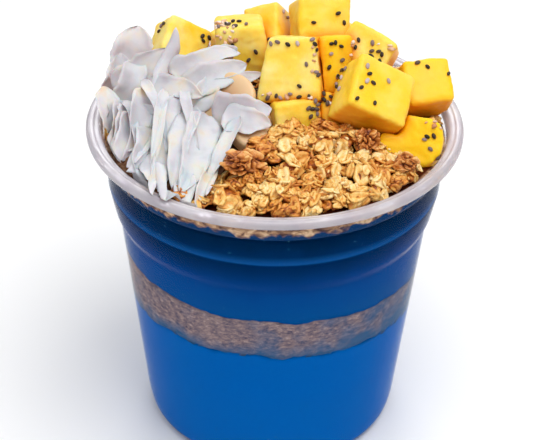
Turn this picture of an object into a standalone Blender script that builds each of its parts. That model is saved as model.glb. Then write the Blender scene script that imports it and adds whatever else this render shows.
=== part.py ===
"""A smoothie bowl in a clear deli tub.

Blue smoothie, a granola layer and more smoothie fill the tub. On top lie a heap of
granola with three walnut pieces, fourteen mango chunks with chia seeds, a heap of
coconut flakes and two banana slices. Metres, +Z up, the origin under the middle of
the tub's foot, -Y towards the viewer.
"""
import math
import random

import bmesh
import bpy
from mathutils import Matrix, Vector
from mathutils.bvhtree import BVHTree
from mathutils.noise import noise

MM = 0.001
GAP = 0.3 * MM
CHUNK_GAP = 1.5 * GAP

# The tub
TUB_HEIGHT = 108 * MM
RIM_RADIUS = 58.5 * MM
MOUTH_RADIUS = 53.8 * MM
WALL = 0.8 * MM
FLOOR = 2.4 * MM
RECESS = 1.5 * MM
SIDES = 40

# The outside of the wall from the foot to the rim, as (radius, height)
WALL_OUTSIDE = [
    (38.5 * MM, 0.0),
    (40.3 * MM, 1.5 * MM),
    (41.3 * MM, 4 * MM),
    (42.0 * MM, 8 * MM),
    (49.3 * MM, 77 * MM),
    (50.7 * MM, 80 * MM),
    (52.4 * MM, 88.7 * MM),
    (52.9 * MM, 98.4 * MM),
    (53.7 * MM, 99.4 * MM),
    (53.9 * MM, 104.9 * MM),
]

# Heights of what fills the tub
BAND_BOTTOM = 49.4 * MM
BAND_TOP = 64.2 * MM
SMOOTHIE_TOP = 97.9 * MM
LAYER_END_CLEAR = 2.5 * MM

# The granola bed: its edge, the heights of its surface and the mound under the mango
BED_EDGE = 52.5 * MM
BED_SIDE_TOP = 101.5 * MM
BED_LOW = 104.2 * MM
BED_CROWN = 112.6 * MM
CROWN_AT_WALL = 1.2 * MM
BED_RINGS = (1.0, 0.85, 0.68, 0.5, 0.3)
MOUND_CENTRE = Vector((8 * MM, 16 * MM, 0.0))
MOUND_RISE = 11 * MM
MOUND_SPREAD = 19 * MM

# The coconut's patch on the bed: centre and half sizes of an ellipse
COCONUT_CENTRE = Vector((-30 * MM, -5 * MM, 0.0))
COCONUT_HALF = (21.5 * MM, 37 * MM)
COCONUT_RISE = 10 * MM
COCONUT_CLEAR = (1.06, 1.35)
CLUSTER_CLEAR = 1.08
COCONUT_SEED = 4

# The core under the flakes, and the flakes' own measures
CORE_REACH = 51.8 * MM
CORE_SIDES = 20
CORE_SHOULDER = 1.5 * MM
CORE_RINGS = (0.85, 0.65, 0.35)
FLAKE_THICKNESS = 0.9 * MM
FLAKE_STEPS = 4
FLAKE_WAVE = 0.5 * MM
FLAKE_BLUNT = 0.12
FLAKE_REACH_IN_MOUTH = 52.2 * MM
FLAKE_REACH_ABOVE_RIM = 58 * MM
RIM_CLEARANCE = 0.8 * MM
FLAKE_OFF_BED = 5 * GAP

# Clusters fused to the bed: half sizes in millimetres, and how they are spaced
GRANOLA_CLUSTERS = 50
GRANOLA_SEED = 11
CLUSTER_HALF_SIZES = ((3.2, 5.6), (2.4, 3.8), (1.6, 2.6))
CLUSTER_TO_EDGE = 1.0 * MM
CLUSTER_SPACING = 0.62
CLUSTER_TRIES = 40
HIDDEN_SIDE_SKIPPED = 0.75

# Chia seeds: half sizes, and how far they keep from other chunks and from each other
CHIA_SIZE = (1.1 * MM, 0.75 * MM, 0.6 * MM)
CHIA_LIFT = 0.15 * MM
CHIA_TO_CHUNK = 1.8 * MM
CHIA_TO_CHIA = 2.4 * MM
CHIA_ON_FACE = 0.85

CHUNK_BEVEL = 1.3 * MM
CHUNK_UNEVEN = 0.7 * MM
WALNUT_GROOVE = 0.14
WALNUT_UNEVEN = 0.22

# Mango chunks: centre and size in millimetres, yaw, tilt and roll in degrees, the top's
# width as a share of the bottom's, and the radius of the skin side's corners.
# A chunk is cut back where it meets the ones above it in the list.
MANGO_CHUNKS = [
    ("mango_chunk_1", (29, -8, 120), (20, 15, 18), (40, -45, 45), 1.0, 0),
    ("mango_chunk_2", (5, 4, 123), (20, 14, 20), (-10, -30, -5), 0.7, 0),
    ("mango_chunk_3", (46, 8, 115), (15, 14, 15), (10, -50, 0), 1.0, 0),
    ("mango_chunk_4", (42, -14, 108), (20, 12, 15), (-10, -40, 5), 0.9, 6),
    ("mango_chunk_5", (6, -8, 111), (14, 12, 14), (15, -25, 0), 1.0, 0),
    ("mango_chunk_6", (28, 14, 122), (16, 14, 15), (-10, -40, 25), 1.0, 0),
    ("mango_chunk_7", (14, 27, 127), (17, 14, 15), (15, -40, 5), 1.0, 0),
    ("mango_chunk_8", (-11, 20, 122), (16, 14, 17), (5, -10, -5), 1.0, 0),
    ("mango_chunk_9", (-31, 27, 118), (15, 14, 14), (40, -40, 45), 1.0, 0),
    ("mango_chunk_10", (-2, 34, 120), (14, 13, 14), (75, -25, 50), 1.0, 0),
    ("mango_chunk_11", (17, 10, 121), (12, 13, 18), (25, -25, 10), 1.0, 0),
    ("mango_chunk_12", (17, -5, 112), (11, 12, 14), (-5, -30, 5), 1.0, 0),
    ("mango_chunk_13", (20, 40, 112), (14, 13, 14), (-30, -15, 10), 1.0, 0),
    ("mango_chunk_14", (-13, 41, 111), (14, 13, 13), (25, -10, -10), 1.0, 0),
]

# Chia seeds in groups: chunk, face, middle of the group and its spread, both as shares
# of the face's half size, and how many seeds
CHIA_GROUPS = [
    ("mango_chunk_1", "front", (-0.35, -0.1), (0.5, 0.7), 6),
    ("mango_chunk_1", "left", (-0.2, 0.2), (0.6, 0.6), 3),
    ("mango_chunk_2", "front", (0.0, 0.8), (0.8, 0.1), 5),
    ("mango_chunk_2", "front", (0.1, -0.2), (0.6, 0.6), 3),
    ("mango_chunk_3", "front", (0.3, 0.3), (0.7, 0.6), 3),
    ("mango_chunk_4", "front", (0.6, -0.1), (0.25, 0.5), 4),
    ("mango_chunk_5", "front", (0.4, 0.5), (0.5, 0.3), 4),
    ("mango_chunk_6", "front", (0.2, 0.0), (0.8, 0.7), 9),
    ("mango_chunk_7", "front", (0.2, -0.1), (0.8, 0.8), 4),
    ("mango_chunk_8", "top", (-0.1, -0.5), (0.8, 0.3), 6),
    ("mango_chunk_8", "front", (0.0, 0.3), (0.7, 0.6), 3),
    ("mango_chunk_9", "left", (0.0, 0.4), (0.6, 0.5), 3),
    ("mango_chunk_9", "front", (0.6, 0.5), (0.3, 0.3), 3),
    ("mango_chunk_10", "front", (0.0, 0.4), (0.5, 0.4), 2),
    ("mango_chunk_11", "front", (0.1, 0.2), (0.8, 0.8), 6),
    ("mango_chunk_12", "front", (0.0, 0.4), (0.6, 0.5), 4),
]

# Walnut pieces: centre and size in millimetres, yaw, tilt and roll in degrees
WALNUT_PIECES = [
    ("walnut_piece_1", (-8.5, -34.0, 112.4), (13, 10, 7), (20, -10, 10)),
    ("walnut_piece_2", (27.5, -22.0, 113.4), (8, 8, 9), (0, -30, 15)),
    ("walnut_piece_3", (38.8, -28.6, 110.2), (8, 6, 5.5), (-20, -20, 0)),
]

# Banana slices: centre in millimetres, radius, yaw, tilt and roll in degrees
BANANA_THICKNESS = 4.5 * MM
BANANA_BEVEL = 0.7 * MM
BANANA_SLICES = [
    ("banana_slice_1", (-15.5, -3.0, 115.4), 9.5 * MM, (-14, 40, 0)),
    ("banana_slice_2", (-7.5, -17.0, 112.0), 6.0 * MM, (8, 24, 10)),
]

# Coconut flakes: base and tip in millimetres, the way the flat side faces, width, bow
# across the flake and how far it is twisted in degrees
COCONUT_FLAKES = [
    ((-47, 20, 106), (-44, 29, 124), (0.3, -0.9, 0.4), 15, 2.5, 10),
    ((-52, 12, 107), (-49, 20, 119), (0.5, -0.8, 0.3), 9, 2.0, 15),
    ((-50, -9, 107), (-53, 2, 117), (0.5, -0.8, 0.4), 8, 1.5, 20),
    ((-50, 8, 112), (-34, 14, 124), (0.2, -0.8, 0.6), 9, 2.5, -20),
    ((-36, -1, 114), (-31, 13, 132), (0.2, -0.9, 0.4), 5, -2.0, 30),
    ((-33, 6, 121), (-11, 8, 126), (0.0, -0.7, 0.7), 6, 2.0, 15),
    ((-29, -1, 117), (-9, 5, 124), (0.0, -0.7, 0.7), 9, 2.0, -15),
    ((-21, 9, 121), (-12, 8, 128), (0.3, -0.8, 0.5), 5, -2.5, 35),
    ((-20, 1, 118), (-4, 3, 122), (0.1, -0.9, 0.4), 4, 1.5, 20),
    ((-19, -9, 113), (-3, -8, 119), (0.1, -0.8, 0.6), 10, -3.0, 25),
    ((-14, -11, 112), (0, -15, 114), (0.4, -0.7, 0.6), 8, -2.5, -25),
    ((-9, -14, 113), (-19, -36, 107.8), (-0.3, -0.4, 0.9), 4, 1.5, 20),
    ((-20, -16, 113), (-27, -44, 107.5), (0.2, -0.6, 0.8), 8, 2.0, -10),
    ((-27, -14, 113), (-33, -41, 108.6), (0.2, -0.6, 0.8), 8, 1.5, 15),
    ((-34, -6, 115), (-37, -36, 109), (0.3, -0.5, 0.8), 7, 2.0, 20),
    ((-40, -9, 115), (-42, -31, 109.4), (0.4, -0.5, 0.8), 7, -1.5, -20),
    ((-44, -4, 113), (-48, -20, 108.8), (0.6, -0.4, 0.7), 8, 1.5, 20),
    ((-26, -8, 114), (-20, 4, 121), (0.4, -0.8, 0.5), 6, 2.0, 20),
    ((-40, 4, 117), (-22, -7, 119), (0.1, -0.7, 0.7), 7, 2.0, -20),
    ((-48, 2, 112), (-42, 12, 121), (0.3, -0.8, 0.5), 9, 2.0, 15),
    ((-36, -12, 113), (-17, -3, 120), (0.1, -0.6, 0.8), 7, -2.0, 20),
    ((-42, 22, 110), (-24, 20, 117), (0.1, -0.8, 0.6), 8, 2.0, 15),
]

# Small flakes that fill the heap between those: how many, where their feet stand, as
# shares of the patch, and their reach in millimetres
COCONUT_FILLERS = 6
FILLER_SHARES = (0.3, 0.8)
FILLER_FOOT = 109
FILLER_LEAN = 9
FILLER_RISE = (5, 9)
FILLER_WIDTH = (6, 9)

# The faces of a chunk before it is turned: outward, across and up
FACES = {
    "front": (Vector((0, -1, 0)), Vector((1, 0, 0)), Vector((0, 0, 1))),
    "top": (Vector((0, 0, 1)), Vector((1, 0, 0)), Vector((0, 1, 0))),
    "left": (Vector((-1, 0, 0)), Vector((0, -1, 0)), Vector((0, 0, 1))),
}

# Red, green, blue, alpha and roughness
COLOURS = {
    "clear_plastic": (0.93, 0.93, 0.96, 0.35, 0.15),
    "blue_smoothie": (0.01, 0.10, 0.42, 1.0, 0.4),
    "granola": (0.75, 0.45, 0.16, 1.0, 0.7),
    "soaked_granola": (0.22, 0.18, 0.19, 1.0, 0.6),
    "walnut": (0.35, 0.14, 0.05, 1.0, 0.6),
    "mango": (1.0, 0.62, 0.03, 1.0, 0.35),
    "coconut": (0.90, 0.89, 0.91, 1.0, 0.55),
    "banana": (0.86, 0.68, 0.45, 1.0, 0.5),
}


def material(name):
    """Make or fetch the Principled material of one kind of food or plastic."""
    if name in bpy.data.materials:
        return bpy.data.materials[name]
    red, green, blue, alpha, roughness = COLOURS[name]
    made = bpy.data.materials.new(name)
    made.use_nodes = True
    made.diffuse_color = (red, green, blue, alpha)
    shader = made.node_tree.nodes["Principled BSDF"]
    shader.inputs["Base Color"].default_value = (red, green, blue, 1.0)
    shader.inputs["Roughness"].default_value = roughness
    shader.inputs["Alpha"].default_value = alpha
    return made


def object_from(name, bm, material_name=None):
    """Turn a bmesh into a named object, with its faces pointing out."""
    bmesh.ops.recalc_face_normals(bm, faces=bm.faces)
    mesh = bpy.data.meshes.new(name)
    bm.to_mesh(mesh)
    bm.free()
    made = bpy.data.objects.new(name, mesh)
    bpy.context.collection.objects.link(made)
    if material_name:
        mesh.materials.append(material(material_name))
    return made


def vector_mm(numbers):
    return Vector(numbers) * MM


def turn(yaw, tilt, roll):
    """Roll about the facing direction, then tilt back, then turn about the upright."""
    return (Matrix.Rotation(math.radians(yaw), 3, "Z")
            @ Matrix.Rotation(math.radians(tilt), 3, "X")
            @ Matrix.Rotation(math.radians(roll), 3, "Y"))


def smooth_step(low, high, value):
    share = min(max((value - low) / (high - low), 0.0), 1.0)
    return share * share * (3 - 2 * share)


def bumps(x, y, size, height, key):
    """Gentle unevenness of a given bump size and height."""
    return height * noise(Vector((x / size, y / size, key)))


def wall_inside():
    """The inside of the wall, one wall thickness in from the outside."""
    inside = [(radius - WALL, height + 0.2 * MM) for radius, height in WALL_OUTSIDE[2:]]
    return [(38.6 * MM, FLOOR)] + inside


def contents_radius(height):
    """How far the food reaches at a height, a small gap short of the wall."""
    inside = wall_inside()
    for (low_r, low_z), (high_r, high_z) in zip(inside, inside[1:]):
        if low_z <= height <= high_z:
            share = (height - low_z) / (high_z - low_z)
            return low_r + share * (high_r - low_r) - GAP
    return (inside[0][0] if height < inside[0][1] else inside[-1][0]) - GAP


def ring(bm, radius, height_at):
    """A ring of points about the tub's axis, its height a function of x and y."""
    points = []
    for step in range(SIDES):
        angle = 2 * math.pi * step / SIDES
        x = radius(angle) * math.cos(angle)
        y = radius(angle) * math.sin(angle)
        points.append(bm.verts.new((x, y, height_at(x, y))))
    return points


def bridge(bm, lower, upper):
    """A band of triangles between two rings, split alike from above and from below."""
    widening = lower[0].co.xy.length < upper[0].co.xy.length
    for step in range(len(lower)):
        after = (step + 1) % len(lower)
        if widening:
            bm.faces.new((lower[step], lower[after], upper[after]))
            bm.faces.new((lower[step], upper[after], upper[step]))
        else:
            bm.faces.new((lower[step], lower[after], upper[step]))
            bm.faces.new((lower[after], upper[after], upper[step]))


def close_ring(bm, points, height, middle=Vector((0.0, 0.0, 0.0))):
    """A fan of faces from a ring to a point over its middle."""
    centre = bm.verts.new((middle.x, middle.y, height))
    for step in range(len(points)):
        bm.faces.new((centre, points[step], points[(step + 1) % len(points)]))


def make_tub():
    """The clear tub: foot ring, tapered wall with a stacking step, collar and bead."""
    under = [(33 * MM, RECESS), (34 * MM, 0.0)]
    bead = [
        (57.6 * MM, TUB_HEIGHT - 3.0 * MM),
        (RIM_RADIUS, TUB_HEIGHT - 2.0 * MM),
        (RIM_RADIUS, TUB_HEIGHT - 0.9 * MM),
        (57.6 * MM, TUB_HEIGHT),
        (55.0 * MM, TUB_HEIGHT),
        (MOUTH_RADIUS, TUB_HEIGHT - 0.7 * MM),
    ]
    outline = under + WALL_OUTSIDE + bead + wall_inside()[::-1]
    bm = bmesh.new()
    rings = []
    for radius, height in outline:
        rings.append(ring(bm, lambda angle: radius, lambda x, y: height))
    for lower, upper in zip(rings, rings[1:]):
        bridge(bm, lower, upper)
    close_ring(bm, rings[0], RECESS)
    close_ring(bm, rings[-1], FLOOR)
    tub = object_from("tub", bm, "clear_plastic")
    tub.data.shade_smooth()
    tub.data.set_sharp_from_angle(angle=math.radians(35))


def band_bottom(x, y):
    """The granola layer's lower face, drooping where it meets the wall at both ends."""
    droop = 3.4 * MM * (abs(x) / (44 * MM)) ** 4
    return BAND_BOTTOM - 0.02 * x - droop + bumps(x, y, 9 * MM, 1.6 * MM, 3.0)


def band_top(x, y):
    """The granola layer's upper face, higher on the left."""
    droop = 3.0 * MM * smooth_step(34 * MM, 50 * MM, x)
    return BAND_TOP - 0.05 * x - droop + bumps(x, y, 11 * MM, 1.0 * MM, 8.0)


def smoothie_top(x, y):
    return SMOOTHIE_TOP + bumps(x, y, 16 * MM, 0.6 * MM, 5.0)


def radius_on(face, share):
    """How far out a ring on an uneven face lies, the same for the food on both sides."""
    nominal = contents_radius(face(0, 0))

    def radius(angle):
        x = nominal * math.cos(angle)
        y = nominal * math.sin(angle)
        return share * contents_radius(face(x, y))
    return radius


def filling(name, low, high, material_name):
    """One layer of food in the tub between two uneven faces."""
    bm = bmesh.new()
    rings = [ring(bm, radius_on(low, 0.5), lambda x, y: low(x, y) + GAP / 2)]
    rings.append(ring(bm, radius_on(low, 1.0), lambda x, y: low(x, y) + GAP / 2))
    for _, height in wall_inside():
        if low(0, 0) + LAYER_END_CLEAR < height < high(0, 0) - LAYER_END_CLEAR:
            level = contents_radius(height)
            rings.append(ring(bm, lambda angle: level, lambda x, y: height))
    rings.append(ring(bm, radius_on(high, 1.0), lambda x, y: high(x, y) - GAP / 2))
    rings.append(ring(bm, radius_on(high, 0.5), lambda x, y: high(x, y) - GAP / 2))
    for lower, upper in zip(rings, rings[1:]):
        bridge(bm, lower, upper)
    close_ring(bm, rings[0], low(0, 0) + GAP / 2)
    close_ring(bm, rings[-1], high(0, 0) - GAP / 2)
    return object_from(name, bm, material_name)


def coconut_distance(x, y):
    """1 on the edge of the coconut's patch, less inside it."""
    across = (x - COCONUT_CENTRE.x) / COCONUT_HALF[0]
    along = (y - COCONUT_CENTRE.y) / COCONUT_HALF[1]
    return math.hypot(across, along)


def bed_height(x, y):
    """The granola's surface: crowned in front, a mound under the mango, level at the left."""
    share = math.hypot(x, y) / BED_EDGE
    crown = CROWN_AT_WALL + (BED_CROWN - BED_LOW) * (1 - share * share)
    front = 1 - smooth_step(-16 * MM, 4 * MM, y)
    away = (Vector((x, y, 0.0)) - MOUND_CENTRE).length / MOUND_SPREAD
    mound = MOUND_RISE * math.exp(-0.5 * away * away) * (1 - 0.5 * share ** 6)
    clear = smooth_step(*COCONUT_CLEAR, coconut_distance(x, y))
    return BED_LOW + max(crown * front, mound) * clear


def lump(bm, centre, size, rotation, detail, roughness, rng):
    """An uneven rounded lump added to a bmesh."""
    made = bmesh.ops.create_icosphere(bm, subdivisions=detail, radius=1.0)
    for vert in made["verts"]:
        scale = 1 + rng.uniform(-roughness, roughness)
        local = Vector((vert.co.x * size[0], vert.co.y * size[1], vert.co.z * size[2]))
        vert.co = centre + rotation @ (local * scale)


def fuse(base, pieces):
    """Join the pieces to the base with one Boolean union and keep the outer body."""
    boolean(base, pieces, "UNION")
    keep_outer_body(base)


def boolean(base, pieces, operation):
    """Apply one Boolean with a collection of pieces, then remove the pieces."""
    group = bpy.data.collections.new("pieces")
    bpy.context.scene.collection.children.link(group)
    for piece in pieces:
        for holder in list(piece.users_collection):
            holder.objects.unlink(piece)
        group.objects.link(piece)
    modifier = base.modifiers.new("join", "BOOLEAN")
    modifier.operand_type = "COLLECTION"
    modifier.collection = group
    modifier.operation = operation
    modifier.solver = "EXACT"
    evaluated = base.evaluated_get(bpy.context.evaluated_depsgraph_get())
    mesh = bpy.data.meshes.new_from_object(evaluated)
    base.modifiers.remove(modifier)
    old = base.data
    base.data = mesh
    bpy.data.meshes.remove(old)
    for piece in pieces:
        bpy.data.objects.remove(piece)
    bpy.data.collections.remove(group)


def keep_outer_body(thing):
    """Drop loose scraps and sealed hollows: keep the largest connected shell."""
    bm = bmesh.new()
    bm.from_mesh(thing.data)
    bmesh.ops.remove_doubles(bm, verts=bm.verts, dist=0.01 * MM)
    bmesh.ops.dissolve_degenerate(bm, edges=bm.edges, dist=0.01 * MM)
    bmesh.ops.triangulate(bm, faces=bm.faces)
    unseen = set(bm.faces)
    shells = []
    while unseen:
        first = unseen.pop()
        shell = [first]
        queue = [first]
        while queue:
            face = queue.pop()
            across = [edge for edge in face.edges if len(edge.link_faces) == 2]
            for other in {face for edge in across for face in edge.link_faces} & unseen:
                unseen.remove(other)
                shell.append(other)
                queue.append(other)
        shells.append(shell)
    shells.sort(key=len, reverse=True)
    loose = [face for shell in shells[1:] for face in shell]
    bmesh.ops.delete(bm, geom=loose, context="FACES")
    bm.to_mesh(thing.data)
    bm.free()


def chunk_object(row, grow=0.0):
    """A mango chunk: a slightly tapered, uneven block with eased edges."""
    name, centre, size, angles, taper, skin_round = row
    rng = random.Random(name)
    bm = bmesh.new()
    bmesh.ops.create_cube(bm, size=1.0)
    for vert in bm.verts:
        x = vert.co.x * (size[0] * MM + 2 * grow)
        y = vert.co.y * (size[1] * MM + 2 * grow)
        z = vert.co.z * (size[2] * MM + 2 * grow)
        if z > 0:
            x *= taper
        offset = Vector([rng.uniform(-CHUNK_UNEVEN, CHUNK_UNEVEN) for _ in range(3)])
        vert.co = Vector((x, y, z)) + offset
    if skin_round:
        outer = [edge for edge in bm.edges
                 if all(vert.co.x > 0 for vert in edge.verts)
                 and edge.verts[0].co.y * edge.verts[1].co.y < 0]
        bmesh.ops.bevel(bm, geom=outer, offset=skin_round * MM, segments=3,
                        affect="EDGES", profile=0.5)
    bmesh.ops.bevel(bm, geom=list(bm.edges), offset=CHUNK_BEVEL - grow, segments=1,
                    affect="EDGES", clamp_overlap=True)
    rotation = turn(*angles)
    bmesh.ops.transform(bm, matrix=rotation.to_4x4(), verts=bm.verts)
    bmesh.ops.translate(bm, vec=vector_mm(centre), verts=bm.verts)
    return object_from(name, bm, "mango")


def surface_of(thing):
    """A search tree on an object's faces, in world space."""
    bm = bmesh.new()
    bm.from_mesh(thing.data)
    tree = BVHTree.FromBMesh(bm)
    bm.free()
    return tree


def chia_places(row, face, middle, spread, count, rng):
    """Places on a chunk's face, as (point, outward direction) before they are fitted."""
    _, centre, size, angles, _, _ = row
    out, across, up = FACES[face]
    half = vector_mm(size) / 2
    rotation = turn(*angles)
    for _ in range(count):
        a = middle[0] + rng.uniform(-1, 1) * spread[0]
        b = middle[1] + rng.uniform(-1, 1) * spread[1]
        a = min(max(a, -CHIA_ON_FACE), CHIA_ON_FACE)
        b = min(max(b, -CHIA_ON_FACE), CHIA_ON_FACE)
        local = out * 1.6 + across * a + up * b
        local = Vector((local.x * half.x, local.y * half.y, local.z * half.z))
        yield vector_mm(centre) + rotation @ local, rotation @ out


def chia_seeds(row, chunk, others):
    """Seeds half sunk in a chunk's faces, clear of the other chunks."""
    surface = surface_of(chunk)
    rng = random.Random("chia " + row[0])
    seeds = []
    taken = []
    for name, face, middle, spread, count in CHIA_GROUPS:
        if name != row[0]:
            continue
        for start, out in chia_places(row, face, middle, spread, count, rng):
            spin = rng.uniform(0, math.pi)
            point, normal, _, _ = surface.ray_cast(start, -out)
            if point is None:
                continue
            near_chunk = min(other.find_nearest(point)[3] for other in others)
            near_seed = min(((point - place).length for place in taken), default=1.0)
            if near_chunk < CHIA_TO_CHUNK or near_seed < CHIA_TO_CHIA:
                continue
            taken.append(point)
            bm = bmesh.new()
            rotation = normal.to_track_quat("Z", "Y").to_matrix()
            rotation = rotation @ Matrix.Rotation(spin, 3, "Z")
            lump(bm, point + normal * CHIA_LIFT, CHIA_SIZE, rotation, 1, 0.0, rng)
            seeds.append(object_from("seed", bm))
    return seeds


def wall_cutter():
    """A ring a little fatter than the tub's rim, which trims what leans on the rim."""
    inner = MOUTH_RADIUS - 1.3 * MM
    outer = RIM_RADIUS + 3 * MM
    bottom = TUB_HEIGHT - 18 * MM
    outline = [(inner, bottom), (outer, bottom), (outer, TUB_HEIGHT + GAP),
               (MOUTH_RADIUS - GAP, TUB_HEIGHT + GAP), (inner, TUB_HEIGHT - 2 * MM)]
    bm = bmesh.new()
    rings = []
    for radius, height in outline:
        rings.append(ring(bm, lambda angle: radius, lambda x, y: height))
    for lower, upper in zip(rings, rings[1:] + rings[:1]):
        bridge(bm, lower, upper)
    return object_from("cutter", bm)


def make_mango():
    """All mango chunks, fitted round each other, with their seeds fused on."""
    chunks = []
    for index, row in enumerate(MANGO_CHUNKS):
        chunk = chunk_object(row)
        space = surface_of(chunk)
        cutters = []
        candidates = [chunk_object(front_row, CHUNK_GAP) for front_row in MANGO_CHUNKS[:index]]
        for cutter in candidates + [wall_cutter()]:
            cutter.name = "cutter"
            if space.overlap(surface_of(cutter)):
                cutters.append(cutter)
            else:
                bpy.data.objects.remove(cutter)
        if cutters:
            boolean(chunk, cutters, "DIFFERENCE")
            keep_outer_body(chunk)
        chunks.append(chunk)
    surfaces = [surface_of(chunk) for chunk in chunks]
    for index, row in enumerate(MANGO_CHUNKS):
        others = surfaces[:index] + surfaces[index + 1:]
        fuse(chunks[index], chia_seeds(row, chunks[index], others))


def make_walnut(row, grow=0.0):
    """A ridged walnut piece."""
    name, centre, size, angles = row
    bm = bmesh.new()
    rotation = turn(*angles)
    bmesh.ops.create_icosphere(bm, subdivisions=2, radius=1.0)
    half = vector_mm(size) / 2
    for vert in bm.verts:
        groove = WALNUT_GROOVE * math.sin(5 * vert.co.x + 3 * vert.co.z)
        ridge = 1 + groove + WALNUT_UNEVEN * noise(vert.co * 2.2 + vector_mm(centre) * 900)
        local = Vector((vert.co.x * half.x, vert.co.y * half.y, vert.co.z * half.z))
        length = local.length
        vert.co = vector_mm(centre) + rotation @ (local * (ridge + grow / length))
    return object_from(name, bm, "walnut")


def make_banana(row, grow=0.0):
    """A round banana slice with an eased edge."""
    name, centre, radius, angles = row
    bm = bmesh.new()
    bmesh.ops.create_cone(bm, cap_ends=True, segments=18, radius1=radius + grow,
                          radius2=radius + grow, depth=BANANA_THICKNESS + 2 * grow)
    rims = [edge for edge in bm.edges
            if abs(edge.verts[0].co.z - edge.verts[1].co.z) < 0.1 * MM]
    bmesh.ops.bevel(bm, geom=rims, offset=BANANA_BEVEL, segments=1, affect="EDGES")
    bmesh.ops.transform(bm, matrix=turn(*angles).to_4x4(), verts=bm.verts)
    bmesh.ops.translate(bm, vec=vector_mm(centre), verts=bm.verts)
    return object_from(name, bm, "banana")


def touches(thing, surfaces):
    """Whether an object crosses one of the surfaces or has a corner too close to it."""
    own = surface_of(thing)
    corners = [vert.co for vert in thing.data.vertices]
    for surface in surfaces:
        if own.overlap(surface):
            return True
        if any(surface.find_nearest(corner, CHUNK_GAP)[0] for corner in corners):
            return True
    return False


def make_granola_heap(cutters, coconut):
    """The granola on top: a crowned bed with clusters fused on, cut round its toppings."""
    bm = bmesh.new()
    rings = []
    for share in (0.5, 1.0):
        rings.append(ring(bm, radius_on(smoothie_top, share),
                          lambda x, y: smoothie_top(x, y) + GAP / 2))
    rings.append(ring(bm, lambda angle: BED_EDGE, lambda x, y: BED_SIDE_TOP))
    for share in BED_RINGS:
        rings.append(ring(bm, lambda angle: share * BED_EDGE, bed_height))
    for lower, upper in zip(rings, rings[1:]):
        bridge(bm, lower, upper)
    close_ring(bm, rings[0], smoothie_top(0, 0) + GAP / 2)
    close_ring(bm, rings[-1], bed_height(0, 0))
    heap = object_from("granola_heap", bm, "granola")
    rng = random.Random(GRANOLA_SEED)
    toppings = [surface_of(thing) for thing in [coconut] + cutters]
    clusters = []
    places = []
    for _ in range(CLUSTER_TRIES * GRANOLA_CLUSTERS):
        if len(clusters) == GRANOLA_CLUSTERS:
            break
        angle = rng.uniform(-math.pi, math.pi)
        radius = BED_EDGE * math.sqrt(rng.uniform(0.0, 0.86))
        place = Vector((radius * math.cos(angle), radius * math.sin(angle), 0))
        half = Vector([rng.uniform(*span) for span in CLUSTER_HALF_SIZES])
        reach = 0.8 * half.x * MM
        furthest = BED_EDGE - CLUSTER_TO_EDGE - half.x * MM
        if place.length > furthest:
            place *= furthest / place.length
        crowded = any((place - other).length < CLUSTER_SPACING * (reach + size)
                      for other, size in places)
        hidden = place.y > 0 and rng.random() < HIDDEN_SIDE_SKIPPED
        if crowded or hidden or coconut_distance(place.x, place.y) < CLUSTER_CLEAR:
            continue
        height = bed_height(place.x, place.y) + 0.35 * half.z * MM
        centre = Vector((place.x, place.y, height))
        rotation = turn(rng.uniform(0, 360), rng.uniform(-25, 25), rng.uniform(-25, 25))
        bm = bmesh.new()
        lump(bm, centre, half * MM, rotation, 1, 0.16, rng)
        cluster = object_from("cluster", bm)
        if touches(cluster, toppings):
            bpy.data.objects.remove(cluster)
            continue
        places.append((place, reach))
        clusters.append(cluster)
    fuse(heap, clusters)
    cutters.append(coconut_core(BED_LOW + GAP / 2, GAP))
    boolean(heap, cutters, "DIFFERENCE")
    keep_outer_body(heap)


def flake_object(base, tip, facing, width, bow, twist):
    """A thin wavy flake from base to tip, broad in the middle and pointed at the tip."""
    start = vector_mm(base)
    run = vector_mm(tip) - start
    along = run.normalized()
    flat = Vector(facing)
    flat = (flat - along * flat.dot(along)).normalized()
    side = along.cross(flat)
    bm = bmesh.new()
    faces_of = {1: [], -1: []}
    for step in range(FLAKE_STEPS + 1):
        share = step / FLAKE_STEPS
        angle = math.radians(twist) * (share - 0.5) * 2
        here_side = side * math.cos(angle) + flat * math.sin(angle)
        here_flat = flat * math.cos(angle) - side * math.sin(angle)
        fullness = math.sin(math.pi * (FLAKE_BLUNT + 0.80 * share))
        half = 0.5 * width * MM * max(fullness, FLAKE_BLUNT)
        wave = FLAKE_WAVE * math.sin(5 * share + width)
        middle = start + run * share
        middle += flat * (bow * MM * (1 - (2 * share - 1) ** 2) + wave)
        for sign in (1, -1):
            row = []
            for across in (-1, 0, 1):
                cup = 0.25 * abs(bow) * MM * (across * across - 0.5)
                point = middle + here_side * (half * across) + here_flat * cup
                point += here_flat * (sign * FLAKE_THICKNESS / 2)
                row.append(bm.verts.new(inside_tub(point)))
            faces_of[sign].append(row)
    for sign in (1, -1):
        rows = faces_of[sign]
        for lower, upper in zip(rows, rows[1:]):
            for column in range(2):
                corner = (lower[column], lower[column + 1])
                far = (upper[column], upper[column + 1])
                bm.faces.new((corner[0], corner[1], far[1]))
                bm.faces.new((corner[0], far[1], far[0]))
    front, back = faces_of[1], faces_of[-1]
    border = []
    for rows in (front, back):
        border.append(rows[0] + [row[2] for row in rows[1:-1]] + rows[-1][::-1]
                      + [row[0] for row in rows[-2:0:-1]])
    bridge(bm, border[0], border[1])
    return object_from("flake", bm)


def inside_tub(point):
    """Bend a point back inside the mouth below the rim, and up off the bed."""
    above_rim = point.z >= TUB_HEIGHT + RIM_CLEARANCE
    limit = FLAKE_REACH_ABOVE_RIM if above_rim else FLAKE_REACH_IN_MOUTH
    reach = math.hypot(point.x, point.y)
    if reach > limit:
        point.x *= limit / reach
        point.y *= limit / reach
    point.z = max(point.z, bed_height(point.x, point.y) + FLAKE_OFF_BED)
    return point


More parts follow.
